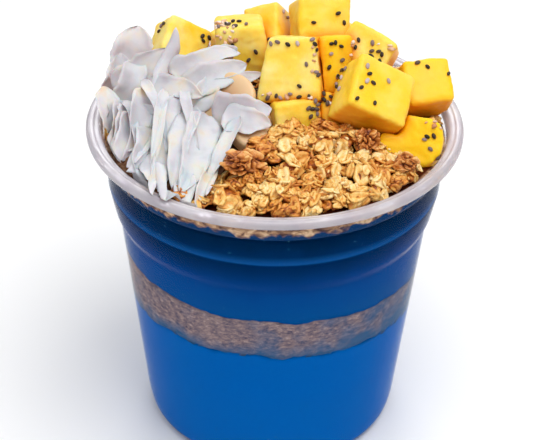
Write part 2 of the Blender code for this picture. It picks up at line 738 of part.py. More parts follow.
def coconut_ring(bm, share, height, grow):
    """One ring of the coconut's core, held inside the tub's mouth."""
    points = []
    for step in range(CORE_SIDES):
        angle = 2 * math.pi * step / CORE_SIDES
        x = COCONUT_CENTRE.x + (share * COCONUT_HALF[0] + grow) * math.cos(angle)
        y = COCONUT_CENTRE.y + (share * COCONUT_HALF[1] + grow) * math.sin(angle)
        reach = math.hypot(x, y)
        limit = CORE_REACH + grow
        if reach > limit:
            x *= limit / reach
            y *= limit / reach
        points.append(bm.verts.new((x, y, height)))
    return points


def coconut_core(bottom, grow=0.0):
    """The low dome under the coconut flakes."""
    shoulder = bottom + CORE_SHOULDER
    bm = bmesh.new()
    rings = [coconut_ring(bm, share, bottom, grow) for share in (0.5, 1.0)]
    rings.append(coconut_ring(bm, 1.0, shoulder, grow))
    for share in CORE_RINGS:
        rise = COCONUT_RISE * math.sqrt(1 - share * share)
        rings.append(coconut_ring(bm, share, shoulder + rise, grow))
    for lower, upper in zip(rings, rings[1:]):
        bridge(bm, lower, upper)
    for points, height in ((rings[0], bottom), (rings[-1], shoulder + COCONUT_RISE)):
        close_ring(bm, points, height, COCONUT_CENTRE)
    return object_from("coconut_flakes", bm, "coconut")


def make_coconut(cutters):
    """The coconut heap: a low core with curved flakes fused on."""
    heap = coconut_core(BED_LOW + GAP)
    flakes = [flake_object(*row) for row in COCONUT_FLAKES]
    rng = random.Random(COCONUT_SEED)
    for _ in range(COCONUT_FILLERS):
        angle = rng.uniform(-math.pi, math.pi)
        share = rng.uniform(*FILLER_SHARES)
        foot = COCONUT_CENTRE + Vector((COCONUT_HALF[0] * share * math.cos(angle),
                                        COCONUT_HALF[1] * share * math.sin(angle), 0))
        foot = foot / MM
        foot.z = FILLER_FOOT
        lean = Vector((rng.uniform(-FILLER_LEAN, FILLER_LEAN),
                       rng.uniform(-FILLER_LEAN, FILLER_LEAN), rng.uniform(*FILLER_RISE)))
        facing = (rng.uniform(-0.4, 0.6), -0.7, rng.uniform(0.3, 0.7))
        flakes.append(flake_object(foot, foot + lean, facing, rng.uniform(*FILLER_WIDTH),
                                   rng.uniform(-2, 2), rng.uniform(-20, 20)))
    fuse(heap, flakes)
    boolean(heap, cutters, "DIFFERENCE")
    keep_outer_body(heap)
    return heap


def copies_to_cut():
    """Slightly enlarged copies of the mango, walnut and banana pieces."""
    copies = [chunk_object(row, GAP) for row in MANGO_CHUNKS]
    copies += [make_walnut(row, GAP) for row in WALNUT_PIECES]
    copies += [make_banana(row, GAP) for row in BANANA_SLICES]
    for copy in copies:
        copy.name = "cutter"
    return copies


def main():
    for thing in list(bpy.data.objects):
        bpy.data.objects.remove(thing)
    make_tub()
    filling("smoothie_lower", lambda x, y: FLOOR + GAP / 2, band_bottom, "blue_smoothie")
    filling("granola_layer", band_bottom, band_top, "soaked_granola")
    filling("smoothie_upper", band_top, smoothie_top, "blue_smoothie")
    granola_cutters = copies_to_cut()
    coconut_cutters = copies_to_cut()
    coconut = make_coconut(coconut_cutters)
    make_granola_heap(granola_cutters, coconut)
    make_mango()
    for row in WALNUT_PIECES:
        make_walnut(row)
    for row in BANANA_SLICES:
        make_banana(row)


main()
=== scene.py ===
"""The looks of a smoothie bowl in a clear deli tub.

Two blue smoothie layers with soaked granola between them, under toasted granola with
walnuts, mango chunks with chia seeds, coconut shreds and banana slices. Metres, in the
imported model's frame: +Z up, -Y towards the viewer.
"""
import math
import random

import bmesh
import bpy
import numpy as np
from mathutils import Matrix, Vector
from mathutils.bvhtree import BVHTree
from mathutils.noise import noise


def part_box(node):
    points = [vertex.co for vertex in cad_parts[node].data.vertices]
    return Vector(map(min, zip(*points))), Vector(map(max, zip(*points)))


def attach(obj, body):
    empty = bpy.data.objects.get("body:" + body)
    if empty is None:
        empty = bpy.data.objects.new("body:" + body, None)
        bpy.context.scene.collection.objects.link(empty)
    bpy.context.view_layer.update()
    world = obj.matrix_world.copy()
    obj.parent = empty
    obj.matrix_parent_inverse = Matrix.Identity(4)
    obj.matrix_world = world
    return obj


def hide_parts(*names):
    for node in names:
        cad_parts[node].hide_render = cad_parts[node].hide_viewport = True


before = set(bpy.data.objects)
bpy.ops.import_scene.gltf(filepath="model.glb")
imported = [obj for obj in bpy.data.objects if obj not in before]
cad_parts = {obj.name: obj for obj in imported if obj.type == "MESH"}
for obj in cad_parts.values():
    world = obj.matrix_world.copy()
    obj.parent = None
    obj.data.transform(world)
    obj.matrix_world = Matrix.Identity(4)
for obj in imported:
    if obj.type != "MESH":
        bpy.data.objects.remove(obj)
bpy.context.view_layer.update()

MM = 0.001

# The tub, from the frame and the part's own measures
TUB_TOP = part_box("tub")[1]
TUB_HEIGHT = TUB_TOP.z
RIM_RADIUS = TUB_TOP.x
MOUTH_RADIUS = 53.8 * MM
WALL = 0.8 * MM
FLOOR = 2.4 * MM
FLOOR_RADIUS = 38.6 * MM
RECESS = 1.5 * MM
TUB_SIDES = 160
FILL_INTO_WALL = 0.35 * MM
BEAD_BOTTOM = TUB_HEIGHT - 3.4 * MM
STEP_HEIGHT = 88.7 * MM
STEP_REACH = 9 * MM

# Outlines as (radius, height): under the foot, the wall's outside up to the bead, and the
# bead from its outer edge round to the mouth
FOOT_UNDER = [(33 * MM, RECESS), (34 * MM, 0.0)]
WALL_OUTSIDE = [
    (38.5 * MM, 0.0),
    (40.3 * MM, 1.5 * MM),
    (41.3 * MM, 4 * MM),
    (42.0 * MM, 8 * MM),
    (49.3 * MM, 77 * MM),
    (50.7 * MM, 80 * MM),
    (52.4 * MM, 88.7 * MM),
    (52.9 * MM, 98.4 * MM),
    (53.7 * MM, 99.4 * MM),
    (53.9 * MM, 104.9 * MM),
]
BEAD = [
    (57.4 * MM, TUB_HEIGHT - 3.1 * MM),
    (RIM_RADIUS, TUB_HEIGHT - 2.4 * MM),
    (RIM_RADIUS, TUB_HEIGHT - 0.8 * MM),
    (57.5 * MM, TUB_HEIGHT),
    (56.2 * MM, TUB_HEIGHT),
    (55.8 * MM, TUB_HEIGHT - 0.5 * MM),
    (54.6 * MM, TUB_HEIGHT - 0.5 * MM),
    (MOUTH_RADIUS, TUB_HEIGHT - 1.2 * MM),
]

# What fills the tub: heights, and the granola's surface
BAND_BOTTOM = 49.4 * MM
BAND_TOP = 64.2 * MM
SMOOTHIE_TOP = 97.9 * MM
BED_EDGE = 52.5 * MM
BED_LOW = 104.2 * MM
BED_CROWN = 112.6 * MM
CROWN_AT_WALL = 1.2 * MM
MOUND_CENTRE = Vector((8 * MM, 16 * MM, 0.0))
MOUND_RISE = 11 * MM
MOUND_SPREAD = 19 * MM

# The coconut's patch on the bed: centre and half sizes of an ellipse
COCONUT_CENTRE = Vector((-30 * MM, -5 * MM, 0.0))
COCONUT_HALF = (21.5 * MM, 37 * MM)
COCONUT_RISE = 10 * MM

# Mango chunks: centre and size in millimetres, yaw, tilt and roll in degrees, the top's
# width as a share of the bottom's, and the radius of the skin side's corners
MANGO_CHUNKS = [
    ("mango_chunk_1", (29, -8, 120), (20, 15, 18), (40, -45, 45), 1.0, 0),
    ("mango_chunk_2", (5, 4, 123), (20, 14, 20), (-10, -30, -5), 0.7, 0),
    ("mango_chunk_3", (46, 8, 115), (15, 14, 15), (10, -50, 0), 1.0, 0),
    ("mango_chunk_4", (42, -14, 108), (20, 12, 15), (-10, -40, 5), 0.9, 6),
    ("mango_chunk_5", (6, -8, 111), (14, 12, 14), (15, -25, 0), 1.0, 0),
    ("mango_chunk_6", (28, 14, 122), (16, 14, 15), (-10, -40, 25), 1.0, 0),
    ("mango_chunk_7", (14, 27, 127), (17, 14, 15), (15, -40, 5), 1.0, 0),
    ("mango_chunk_8", (-11, 20, 122), (16, 14, 17), (5, -10, -5), 1.0, 0),
    ("mango_chunk_9", (-31, 27, 118), (15, 14, 14), (40, -40, 45), 1.0, 0),
    ("mango_chunk_10", (-2, 34, 120), (14, 13, 14), (75, -25, 50), 1.0, 0),
    ("mango_chunk_11", (17, 10, 121), (12, 13, 18), (25, -25, 10), 1.0, 0),
    ("mango_chunk_12", (17, -5, 112), (11, 12, 14), (-5, -30, 5), 1.0, 0),
    ("mango_chunk_13", (20, 40, 112), (14, 13, 14), (-30, -15, 10), 1.0, 0),
    ("mango_chunk_14", (-13, 41, 111), (14, 13, 13), (25, -10, -10), 1.0, 0),
]
CHUNK_BEVEL = 1.3 * MM
CHUNK_UNEVEN = 0.7 * MM
CHUNK_GAP = 0.3 * MM
CHUNK_VOXEL = 0.55 * MM
CLOSE_REACH = 3.5 * MM

# Chunks whose flesh is a deeper yellow than the rest, and by how much
RIPER = {"mango_chunk_1": 0.55, "mango_chunk_3": 0.75, "mango_chunk_4": 0.95, "mango_chunk_5": 0.15,
         "mango_chunk_7": 0.5, "mango_chunk_11": 0.9, "mango_chunk_12": 0.7}

# Chia seeds in groups: chunk, face, middle of the group and its spread, both as shares
# of the face's half size, and how many seeds
CHIA_GROUPS = [
    ("mango_chunk_1", "front", (-0.35, -0.1), (0.5, 0.7), 8),
    ("mango_chunk_1", "left", (-0.2, 0.2), (0.6, 0.6), 4),
    ("mango_chunk_1", "top", (0.0, -0.2), (0.7, 0.5), 3),
    ("mango_chunk_2", "front", (0.0, 0.8), (0.8, 0.1), 8),
    ("mango_chunk_2", "front", (0.1, -0.2), (0.6, 0.6), 3),
    ("mango_chunk_2", "front", (0.8, 0.2), (0.1, 0.7), 5),
    ("mango_chunk_2", "front", (0.0, -0.85), (0.8, 0.1), 5),
    ("mango_chunk_3", "front", (0.3, 0.3), (0.7, 0.6), 3),
    ("mango_chunk_4", "front", (0.6, -0.1), (0.25, 0.5), 5),
    ("mango_chunk_5", "front", (0.4, 0.5), (0.5, 0.3), 3),
    ("mango_chunk_5", "front", (0.8, 0.7), (0.2, 0.2), 5),
    ("mango_chunk_6", "front", (0.2, 0.0), (0.8, 0.7), 14),
    ("mango_chunk_7", "front", (0.2, -0.1), (0.8, 0.8), 4),
    ("mango_chunk_8", "top", (-0.1, -0.5), (0.8, 0.3), 10),
    ("mango_chunk_8", "front", (0.0, 0.3), (0.7, 0.6), 3),
    ("mango_chunk_9", "left", (0.0, 0.4), (0.6, 0.5), 4),
    ("mango_chunk_9", "front", (0.6, 0.5), (0.3, 0.3), 4),
    ("mango_chunk_10", "front", (0.0, 0.4), (0.5, 0.4), 2),
    ("mango_chunk_11", "front", (0.1, 0.2), (0.8, 0.8), 12),
    ("mango_chunk_12", "front", (-0.1, 0.6), (0.8, 0.4), 22),
    ("mango_chunk_5", "front", (0.85, 0.6), (0.15, 0.5), 8),
    ("mango_chunk_1", "left", (-0.7, 0.5), (0.3, 0.5), 7),
    ("mango_chunk_13", "top", (0.0, 0.0), (0.7, 0.7), 5),
    ("mango_chunk_14", "top", (0.0, 0.0), (0.7, 0.7), 4),
]
# Chopped nuts in groups, listed in the same way
NUT_GROUPS = [
    ("mango_chunk_8", "top", (-0.6, -0.4), (0.4, 0.5), 20),
    ("mango_chunk_8", "front", (-0.6, 0.7), (0.4, 0.3), 12),
    ("mango_chunk_2", "front", (0.8, 0.2), (0.1, 0.6), 6),
    ("mango_chunk_2", "front", (0.0, -0.85), (0.8, 0.1), 6),
    ("mango_chunk_11", "front", (0.6, 0.6), (0.3, 0.3), 6),
    ("mango_chunk_6", "front", (0.6, 0.7), (0.4, 0.2), 6),
    ("mango_chunk_4", "front", (0.6, 0.8), (0.4, 0.2), 8),
    ("mango_chunk_12", "front", (0.0, 0.6), (0.8, 0.4), 5),
]
CHIA_SIZE = (0.9 * MM, 0.58 * MM, 0.48 * MM)
CHIA_APART = 1.05 * MM
CHIA_CLEAR = 0.45 * MM

# Walnut pieces: centre and size in millimetres, yaw, tilt and roll in degrees
WALNUT_PIECES = [
    ("walnut_piece_1", (-8.5, -34.0, 112.4), (13, 10, 7), (20, -10, 10)),
    ("walnut_piece_2", (27.5, -22.0, 113.4), (8, 8, 9), (0, -30, 15)),
    ("walnut_piece_3", (38.8, -28.6, 110.2), (8, 6, 5.5), (-20, -20, 0)),
]

# Banana slices: centre in millimetres, radius, yaw, tilt and roll in degrees
BANANA_THICKNESS = 4.5 * MM
BANANA_SLICES = [
    ("banana_slice_1", (-15.5, -3.0, 115.4), 9.5 * MM, (-14, 40, 0)),
    ("banana_slice_2", (-7.5, -17.0, 112.0), 6.0 * MM, (8, 24, 10)),
]

# Coconut shreds: base and tip in millimetres, the way the flat side faces, width, bow
# across the shred and how far it is twisted in degrees
COCONUT_SHREDS = [
    ((-47, 20, 106), (-44, 29, 124), (0.3, -0.9, 0.4), 15, 2.5, 10),
    ((-52, 12, 107), (-49, 20, 119), (0.5, -0.8, 0.3), 9, 2.0, 15),
    ((-50, -9, 107), (-53, 2, 117), (0.5, -0.8, 0.4), 8, 1.5, 20),
    ((-50, 8, 112), (-34, 14, 124), (0.2, -0.8, 0.6), 9, 2.5, -20),
    ((-36, -1, 114), (-31, 13, 132), (0.2, -0.9, 0.4), 5, -2.0, 30),
    ((-33, 6, 121), (-11, 8, 126), (0.0, -0.7, 0.7), 6, 2.0, 15),
    ((-29, -1, 117), (-9, 5, 124), (0.0, -0.7, 0.7), 9, 2.0, -15),
    ((-21, 9, 121), (-12, 8, 128), (0.3, -0.8, 0.5), 5, -2.5, 35),
    ((-20, 1, 118), (-4, 3, 122), (0.1, -0.9, 0.4), 4, 1.5, 20),
    ((-19, -12, 116), (-1, -12, 118), (0.1, -0.8, 0.6), 10, 1.0, 20),
    ((-16, -16, 116), (-1, -17, 115.5), (0.3, -0.6, 0.75), 8, 1.0, -20),
    ((-11, -15, 117), (-19, -37, 107.8), (-0.3, -0.4, 0.9), 4.5, 1.5, 20),
    ((-20, -13, 116), (-27, -43, 107.5), (0.3, -0.5, 0.8), 9, 2.0, -10),
    ((-25, -10, 117), (-29, -41, 107.5), (-0.1, -0.6, 0.8), 6.5, 2.5, 20),
    ((-30, -5, 118), (-37, -36, 107.5), (0.4, -0.5, 0.75), 5, 2.5, 15),
    ((-34, -2, 118.5), (-35, -34, 109), (0.1, -0.6, 0.75), 3.5, 3.5, -25),
    ((-39, -1, 118), (-45, -26, 107.5), (0.5, -0.5, 0.7), 7, 2.5, 20),
    ((-41, 3, 119), (-32, -24, 113), (0.3, -0.5, 0.8), 3, 3, 30),
    ((-28, -2, 119), (-22, -28, 113), (-0.2, -0.5, 0.8), 3, 2.5, -30),
    ((-46, -3, 115), (-41, -27, 110), (0.5, -0.5, 0.7), 3, 2.5, 25),
    ((-44, -4, 113), (-48, -20, 108.8), (0.6, -0.4, 0.7), 8, 1.5, 20),
    ((-26, -8, 114), (-20, 4, 121), (0.4, -0.8, 0.5), 6, 2.0, 20),
    ((-40, 4, 117), (-22, -7, 119), (0.1, -0.7, 0.7), 7, 2.0, -20),
    ((-48, 2, 112), (-42, 12, 121), (0.3, -0.8, 0.5), 9, 2.0, 15),
    ((-36, -12, 113), (-17, -3, 120), (0.1, -0.6, 0.8), 7, -2.0, 20),
    ((-42, 22, 110), (-24, 20, 117), (0.1, -0.8, 0.6), 8, 2.0, 15),
    ((-46, -1, 113), (-49, -16, 107), (0.6, -0.5, 0.6), 8, 1.5, 10),
    ((-43, -9, 113), (-46, -25, 107), (0.5, -0.5, 0.7), 8, 1.5, -10),
    ((-37, -15, 112.5), (-40, -34, 107), (0.4, -0.6, 0.7), 8, 1.5, 15),
    ((-31, -22, 112), (-34, -40, 107), (0.3, -0.6, 0.7), 7, 1.5, -10),
    ((-22, -24, 112), (-26, -44, 107), (0.2, -0.6, 0.8), 7, 1.5, 10),
    ((-50, 4, 112), (-51, -9, 107), (0.7, -0.4, 0.5), 8, 1.5, 10),
]
SHRED_THICKNESS = 0.3 * MM
SHRED_STEPS = 22
SHRED_ACROSS = 8
SHRED_REACH_IN_MOUTH = 52.9 * MM
SHRED_REACH_ABOVE_RIM = 58 * MM
SMALL_SHREDS = 60
SMALL_SHRED_LOW = 105
SMALL_SHRED_RISE = 7

# Granola: rolled oats 3 to 8 mm long, which stick together in clusters 5 to 11 mm long
OAT_LENGTH = 6.4 * MM
OAT_WIDTH = 3.7 * MM
OAT_THICKNESS = 0.9 * MM
OAT_SIDES = 12
OAT_SHAPES = 6
CLUSTERS = 230
CLUSTER_TRIES = 60 * CLUSTERS
CLUSTER_SMALLEST = 2.4
CLUSTER_LARGEST = 5.4
CLUSTER_SHRINK = 2.4
CLUSTER_OATS = 9
CLUSTER_CRUMBS = 7
CLUSTER_SQUASH = Vector((1.0, 0.78, 0.55))
CRUMB_SIZE = 0.55 * MM
PRESSED_RADIUS = 52.8 * MM
LOOSE_OATS_SEED = 7
LOOSE_OAT_SPACING = 3.2 * MM
LOOSE_OATS_PER_SQUARE_METRE = 250000.0
LOOSE_OAT_TILT = 0.6
LOOSE_OAT_TURN = 6.28

# The photo's camera, fitted to the tub's rim and wall: metres, degrees, and the lens and the
# sensor's width in millimetres
CAMERA_PLACE = (0.00054, -0.437, 0.365)
CAMERA_DOWN = 34.05
CAMERA_ROLL = 0.96
CAMERA_LENS = 106.8
SENSOR = 36

# Studio: the surround's strength, and the lights' names, places, sizes and watts
SURROUND_STRENGTH = 0.56
LIGHTS = [
    ("key", (0.18, -0.18, 0.85), 0.6, 4.7),
    ("fill", (-0.5, -0.6, 0.5), 1.0, 1.0),
    ("back", (-0.05, 0.75, 0.62), 0.4, 1.6),
]
LIGHT_TARGET = (0, 0, 0.08)

# The faces of a chunk before it is turned: outward, across and up
FACES = {
    "front": (Vector((0, -1, 0)), Vector((1, 0, 0)), Vector((0, 0, 1))),
    "top": (Vector((0, 0, 1)), Vector((1, 0, 0)), Vector((0, 1, 0))),
    "left": (Vector((-1, 0, 0)), Vector((0, -1, 0)), Vector((0, 0, 1))),
}


# Small helpers for shapes

def vector_mm(numbers):
    return Vector(numbers) * MM


def turn(yaw, tilt, roll):
    """Roll about the facing direction, then tilt back, then turn about the upright."""
    return (Matrix.Rotation(math.radians(yaw), 3, "Z")
            @ Matrix.Rotation(math.radians(tilt), 3, "X")
            @ Matrix.Rotation(math.radians(roll), 3, "Y"))


def smooth_step(low, high, value):
    share = min(max((value - low) / (high - low), 0.0), 1.0)
    return share * share * (3 - 2 * share)


def bumps(x, y, size, height, key):
    """Gentle unevenness of a given bump size and height."""
    return height * noise(Vector((x / size, y / size, key)))


def object_from(name, bm, finish, smooth=True):
    """Turn a bmesh into a named object with its faces out and its finish on."""
    bmesh.ops.recalc_face_normals(bm, faces=bm.faces)
    mesh = bpy.data.meshes.new(name)
    bm.to_mesh(mesh)
    bm.free()
    mesh.polygons.foreach_set("use_smooth", [smooth] * len(mesh.polygons))
    mesh.materials.append(finish)
    made = bpy.data.objects.new(name, mesh)
    bpy.context.scene.collection.objects.link(made)
    return made


def mark(thing, name, values):
    """Store a number for each of a mesh's points, for its finish to read."""
    stored = thing.data.attributes.new(name, "FLOAT", "POINT")
    stored.data.foreach_set("value", values)


def object_from_arrays(name, points, faces, finish, tones):
    """Many small things as one joined mesh, with a tone for each of its points."""
    mesh = bpy.data.meshes.new(name)
    mesh.from_pydata(points.tolist(), [], faces.tolist())
    mesh.polygons.foreach_set("use_smooth", [True] * len(mesh.polygons))
    mesh.materials.append(finish)
    made = bpy.data.objects.new(name, mesh)
    mark(made, "tone", tones.astype(np.float32))
    bpy.context.scene.collection.objects.link(made)
    return made


def baked(thing):
    """Replace an object's mesh by what its modifiers make of it."""
    evaluated = thing.evaluated_get(bpy.context.evaluated_depsgraph_get())
    mesh = bpy.data.meshes.new_from_object(evaluated)
    thing.modifiers.clear()
    old = thing.data
    thing.data = mesh
    bpy.data.meshes.remove(old)
    return thing


def search_tree(thing):
    """A search tree on an object's faces."""
    bm = bmesh.new()
    bm.from_mesh(thing.data)
    tree = BVHTree.FromBMesh(bm)
    bm.free()
    return tree


def rounded_outline(points, radius, steps=3):
    """The same outline with each corner turned into a short curve."""
    corners = [Vector(point) for point in points]
    smooth = [corners[0]]
    for before, corner, after in zip(corners, corners[1:], corners[2:]):
        back = before - corner
        ahead = after - corner
        start = corner + back.normalized() * min(radius, 0.45 * back.length)
        end = corner + ahead.normalized() * min(radius, 0.45 * ahead.length)
        for step in range(steps + 1):
            share = step / steps
            smooth.append(start.lerp(corner, share).lerp(corner.lerp(end, share), share))
    smooth.append(corners[-1])
    return smooth


def ring(bm, radius_at, height_at, sides=TUB_SIDES):
    """A ring of points about the tub's axis."""
    points = []
    for step in range(sides):
        angle = 2 * math.pi * step / sides
        radius = radius_at(angle)
        x = radius * math.cos(angle)
        y = radius * math.sin(angle)
        points.append(bm.verts.new((x, y, height_at(x, y))))
    return points


def skin(bm, rings, closed=True):
    """Faces between rings, with a fan over the first and the last one."""
    for lower, upper in zip(rings, rings[1:]):
        for step in range(len(lower)):
            after = (step + 1) % len(lower)
            bm.faces.new((lower[step], lower[after], upper[after], upper[step]))
    if closed:
        for points in (rings[0], rings[-1]):
            middle = sum((point.co for point in points), Vector()) / len(points)
            centre = bm.verts.new(middle)
            for step in range(len(points)):
                bm.faces.new((centre, points[step], points[(step + 1) % len(points)]))


# Small helpers for finishes

def srgb(code):
    """A hex colour as the eye sees it, turned to the linear values that Blender takes."""
    channels = [int(code[place:place + 2], 16) / 255 for place in (0, 2, 4)]
    linear = [c / 12.92 if c <= 0.04045 else ((c + 0.055) / 1.055) ** 2.4 for c in channels]
    return (*linear, 1.0)


def add(tree, kind, inputs=None, stops=(), **settings):
    """Add one node with its settings, its values and links, and a ramp's stops."""
    node = tree.nodes.new(kind)
    for name, value in settings.items():
        setattr(node, name, value)
    for name, value in (inputs or {}).items():
        if isinstance(value, bpy.types.NodeSocket):
            tree.links.new(value, node.inputs[name])
        else:
            node.inputs[name].default_value = value
    for index, (place, code) in enumerate(stops):
        marks = node.color_ramp.elements
        mark = marks[index] if index < 2 else marks.new(place)
        mark.position = place
        mark.color = srgb(code)
    return node


def new_finish(name, roughness, ior=1.45, **values):
    """A Principled finish: its material, its node tree and its shader."""
    finish = bpy.data.materials.new(name)
    finish.use_nodes = True
    shader = finish.node_tree.nodes["Principled BSDF"]
    shader.inputs["Roughness"].default_value = roughness
    shader.inputs["IOR"].default_value = ior
    for socket, value in values.items():
        shader.inputs[socket.replace("_", " ")].default_value = value
    return finish, finish.node_tree, shader


def clear_polypropylene():
    """Injection-moulded clear polypropylene: the food's colours show, under thin highlights.

    Its index is far below the real 1.49. With the real one the pale floor's reflection veils
    the blue, and the photo shows no such veil.
    """
    finish, tree, shader = new_finish("clear_polypropylene", 0.05, 1.06, Transmission_Weight=1.0)
    place = add(tree, "ShaderNodeTexCoord").outputs["Object"]
    # Flow marks from the mould, about 15 mm apart, dull the gloss a little
    flow = add(tree, "ShaderNodeTexNoise", {"Vector": place, "Scale": 1 / (15 * MM), "Detail": 2.0})
    gloss = add(tree, "ShaderNodeMapRange", {"Value": flow.outputs["Fac"], "To Min": 0.02,
                                             "To Max": 0.09})
    shader.inputs["Base Color"].default_value = srgb("F6F5F8")
    tree.links.new(gloss.outputs["Result"], shader.inputs["Roughness"])
    return finish


def frosted_polypropylene():
    """The same plastic where it is thick and lightly textured: a milky, lilac grey bead."""
    finish, tree, shader = new_finish("frosted_polypropylene", 0.2, 1.49, Transmission_Weight=0.55)
    place = add(tree, "ShaderNodeTexCoord").outputs["Object"]
    milk = add(tree, "ShaderNodeTexNoise", {"Vector": place, "Scale": 1 / (9 * MM), "Detail": 3.0})
    colour = add(tree, "ShaderNodeValToRGB", {"Fac": milk.outputs["Fac"]},
                 ((0.35, "DCD6DF"), (0.65, "EAE6EC")))
    gloss = add(tree, "ShaderNodeMapRange", {"Value": milk.outputs["Fac"], "To Min": 0.08,
                                             "To Max": 0.2})
    tree.links.new(colour.outputs["Color"], shader.inputs["Base Color"])
    tree.links.new(gloss.outputs["Result"], shader.inputs["Roughness"])
    return finish


def blue_smoothie(name, stops):
    """Thick blended smoothie pressed to the wall: even blue, darker patches, tiny bubbles."""
    finish, tree, shader = new_finish(name, 0.5, 1.38, Specular_IOR_Level=0.0)
    place = add(tree, "ShaderNodeTexCoord").outputs["Object"]
    height = add(tree, "ShaderNodeSeparateXYZ", {"Vector": place}).outputs["Z"]
    span = add(tree, "ShaderNodeMapRange",
               {"Value": height, "From Min": 0.0, "From Max": TUB_HEIGHT}).outputs["Result"]
    # Cloudy patches about 12 mm across
    cloud = add(tree, "ShaderNodeTexNoise",
                {"Vector": place, "Scale": 1 / (12 * MM), "Detail": 5.0, "Roughness": 0.6})
    shift = add(tree, "ShaderNodeMath", {0: cloud.outputs["Fac"], 1: 0.09}, operation="MULTIPLY")
    moved = add(tree, "ShaderNodeMath", {0: span, 1: shift.outputs["Value"]}, operation="ADD")
    even = add(tree, "ShaderNodeMath", {0: moved.outputs["Value"], 1: 0.045}, operation="SUBTRACT")
    blue = add(tree, "ShaderNodeValToRGB", {"Fac": even.outputs["Value"]}, stops)
    # Bubbles and fruit specks 0.6 mm across, drawn a little coarser than real to show
    speck = add(tree, "ShaderNodeTexVoronoi", {"Vector": place, "Scale": 1 / (2.4 * MM)})
    light = add(tree, "ShaderNodeMapRange",
                {"Value": speck.outputs["Distance"], "From Min": 0.16, "From Max": 0.06})
    some = add(tree, "ShaderNodeSeparateColor", {"Color": speck.outputs["Color"]})
    few = add(tree, "ShaderNodeMath", {0: some.outputs["Red"], 1: 0.78}, operation="GREATER_THAN")
    amount = add(tree, "ShaderNodeMath",
                 {0: light.outputs["Result"], 1: few.outputs["Value"]}, operation="MULTIPLY")
    soft = add(tree, "ShaderNodeMath", {0: amount.outputs["Value"], 1: 0.6}, operation="MULTIPLY")
    mixed = add(tree, "ShaderNodeMix", {0: soft.outputs["Value"], 6: blue.outputs["Color"],
                                        7: srgb("5F9BC4")}, data_type="RGBA")
    # The wall's upper step gathers the light into a thin line, over a dark one about 8 mm high
    step = add(tree, "ShaderNodeMapRange",
               {"Value": height, "From Min": STEP_HEIGHT - STEP_REACH,
                "From Max": STEP_HEIGHT + STEP_REACH})
    line = add(tree, "ShaderNodeValToRGB", {"Fac": step.outputs["Result"]},
               ((0.485, "000000"), (0.66, "000000"), (0.51, "B4B4B4")))
    under = add(tree, "ShaderNodeValToRGB", {"Fac": step.outputs["Result"]},
                ((0.02, "000000"), (0.495, "000000"), (0.45, "B8B8B8"), (0.3, "9C9C9C")))
    lit = add(tree, "ShaderNodeMix", {0: line.outputs["Color"], 6: mixed.outputs[2],
                                      7: srgb("1A74CC")}, data_type="RGBA")
    shaded = add(tree, "ShaderNodeMix", {0: under.outputs["Color"], 6: lit.outputs[2],
                                         7: srgb("001434")}, data_type="RGBA")
    tree.links.new(shaded.outputs[2], shader.inputs["Base Color"])
    return finish


def soaked_granola():
    """Oats soaked in smoothie, pressed to the wall: 1 to 2 mm grains in greyed pink browns."""
    finish, tree, shader = new_finish("soaked_granola", 0.6, 1.4, Specular_IOR_Level=0.0)
    place = add(tree, "ShaderNodeTexCoord").outputs["Object"]
    # Grains lie flat, so they are drawn out round the tub
    lie = add(tree, "ShaderNodeMapping", {"Vector": place, "Scale": (1.0, 1.0, 2.0)})
    grain = add(tree, "ShaderNodeTexNoise",
                {"Vector": lie.outputs["Vector"], "Scale": 1 / (2.2 * MM), "Detail": 8.0,
                 "Roughness": 0.75, "Distortion": 0.4})
    tone = add(tree, "ShaderNodeValToRGB", {"Fac": grain.outputs["Fac"]},
               ((0.3, "3F4156"), (0.72, "D8C6BF"), (0.42, "6E6472"), (0.5, "8E7C80"),
                (0.58, "A8928D")))
    # The blue runs in from below, in patches, and more so towards +X
    patch = add(tree, "ShaderNodeTexNoise", {"Vector": place, "Scale": 1 / (7 * MM), "Detail": 5.0})
    rise = add(tree, "ShaderNodeAttribute", attribute_name="rise").outputs["Fac"]
    low = add(tree, "ShaderNodeMapRange", {"Value": rise, "From Max": 0.4, "To Min": 0.45,
                                           "To Max": 0.0})
    across = add(tree, "ShaderNodeSeparateXYZ", {"Vector": place}).outputs["X"]
    right = add(tree, "ShaderNodeMapRange", {"Value": across, "From Min": -0.01, "From Max": 0.048,
                                             "To Max": 0.32})
    wet = add(tree, "ShaderNodeMath", {0: low.outputs["Result"], 1: right.outputs["Result"]},
              operation="ADD")
    spread = add(tree, "ShaderNodeMath", {0: patch.outputs["Fac"], 1: wet.outputs["Value"]},
                 operation="ADD")
    seep = add(tree, "ShaderNodeMapRange", {"Value": spread.outputs["Value"], "From Min": 0.5,
                                            "From Max": 1.0, "To Max": 0.9})
    mixed = add(tree, "ShaderNodeMix", {0: seep.outputs["Result"], 6: tone.outputs["Color"],
                                        7: srgb("2E6390")}, data_type="RGBA")
    tree.links.new(mixed.outputs[2], shader.inputs["Base Color"])
    return finish


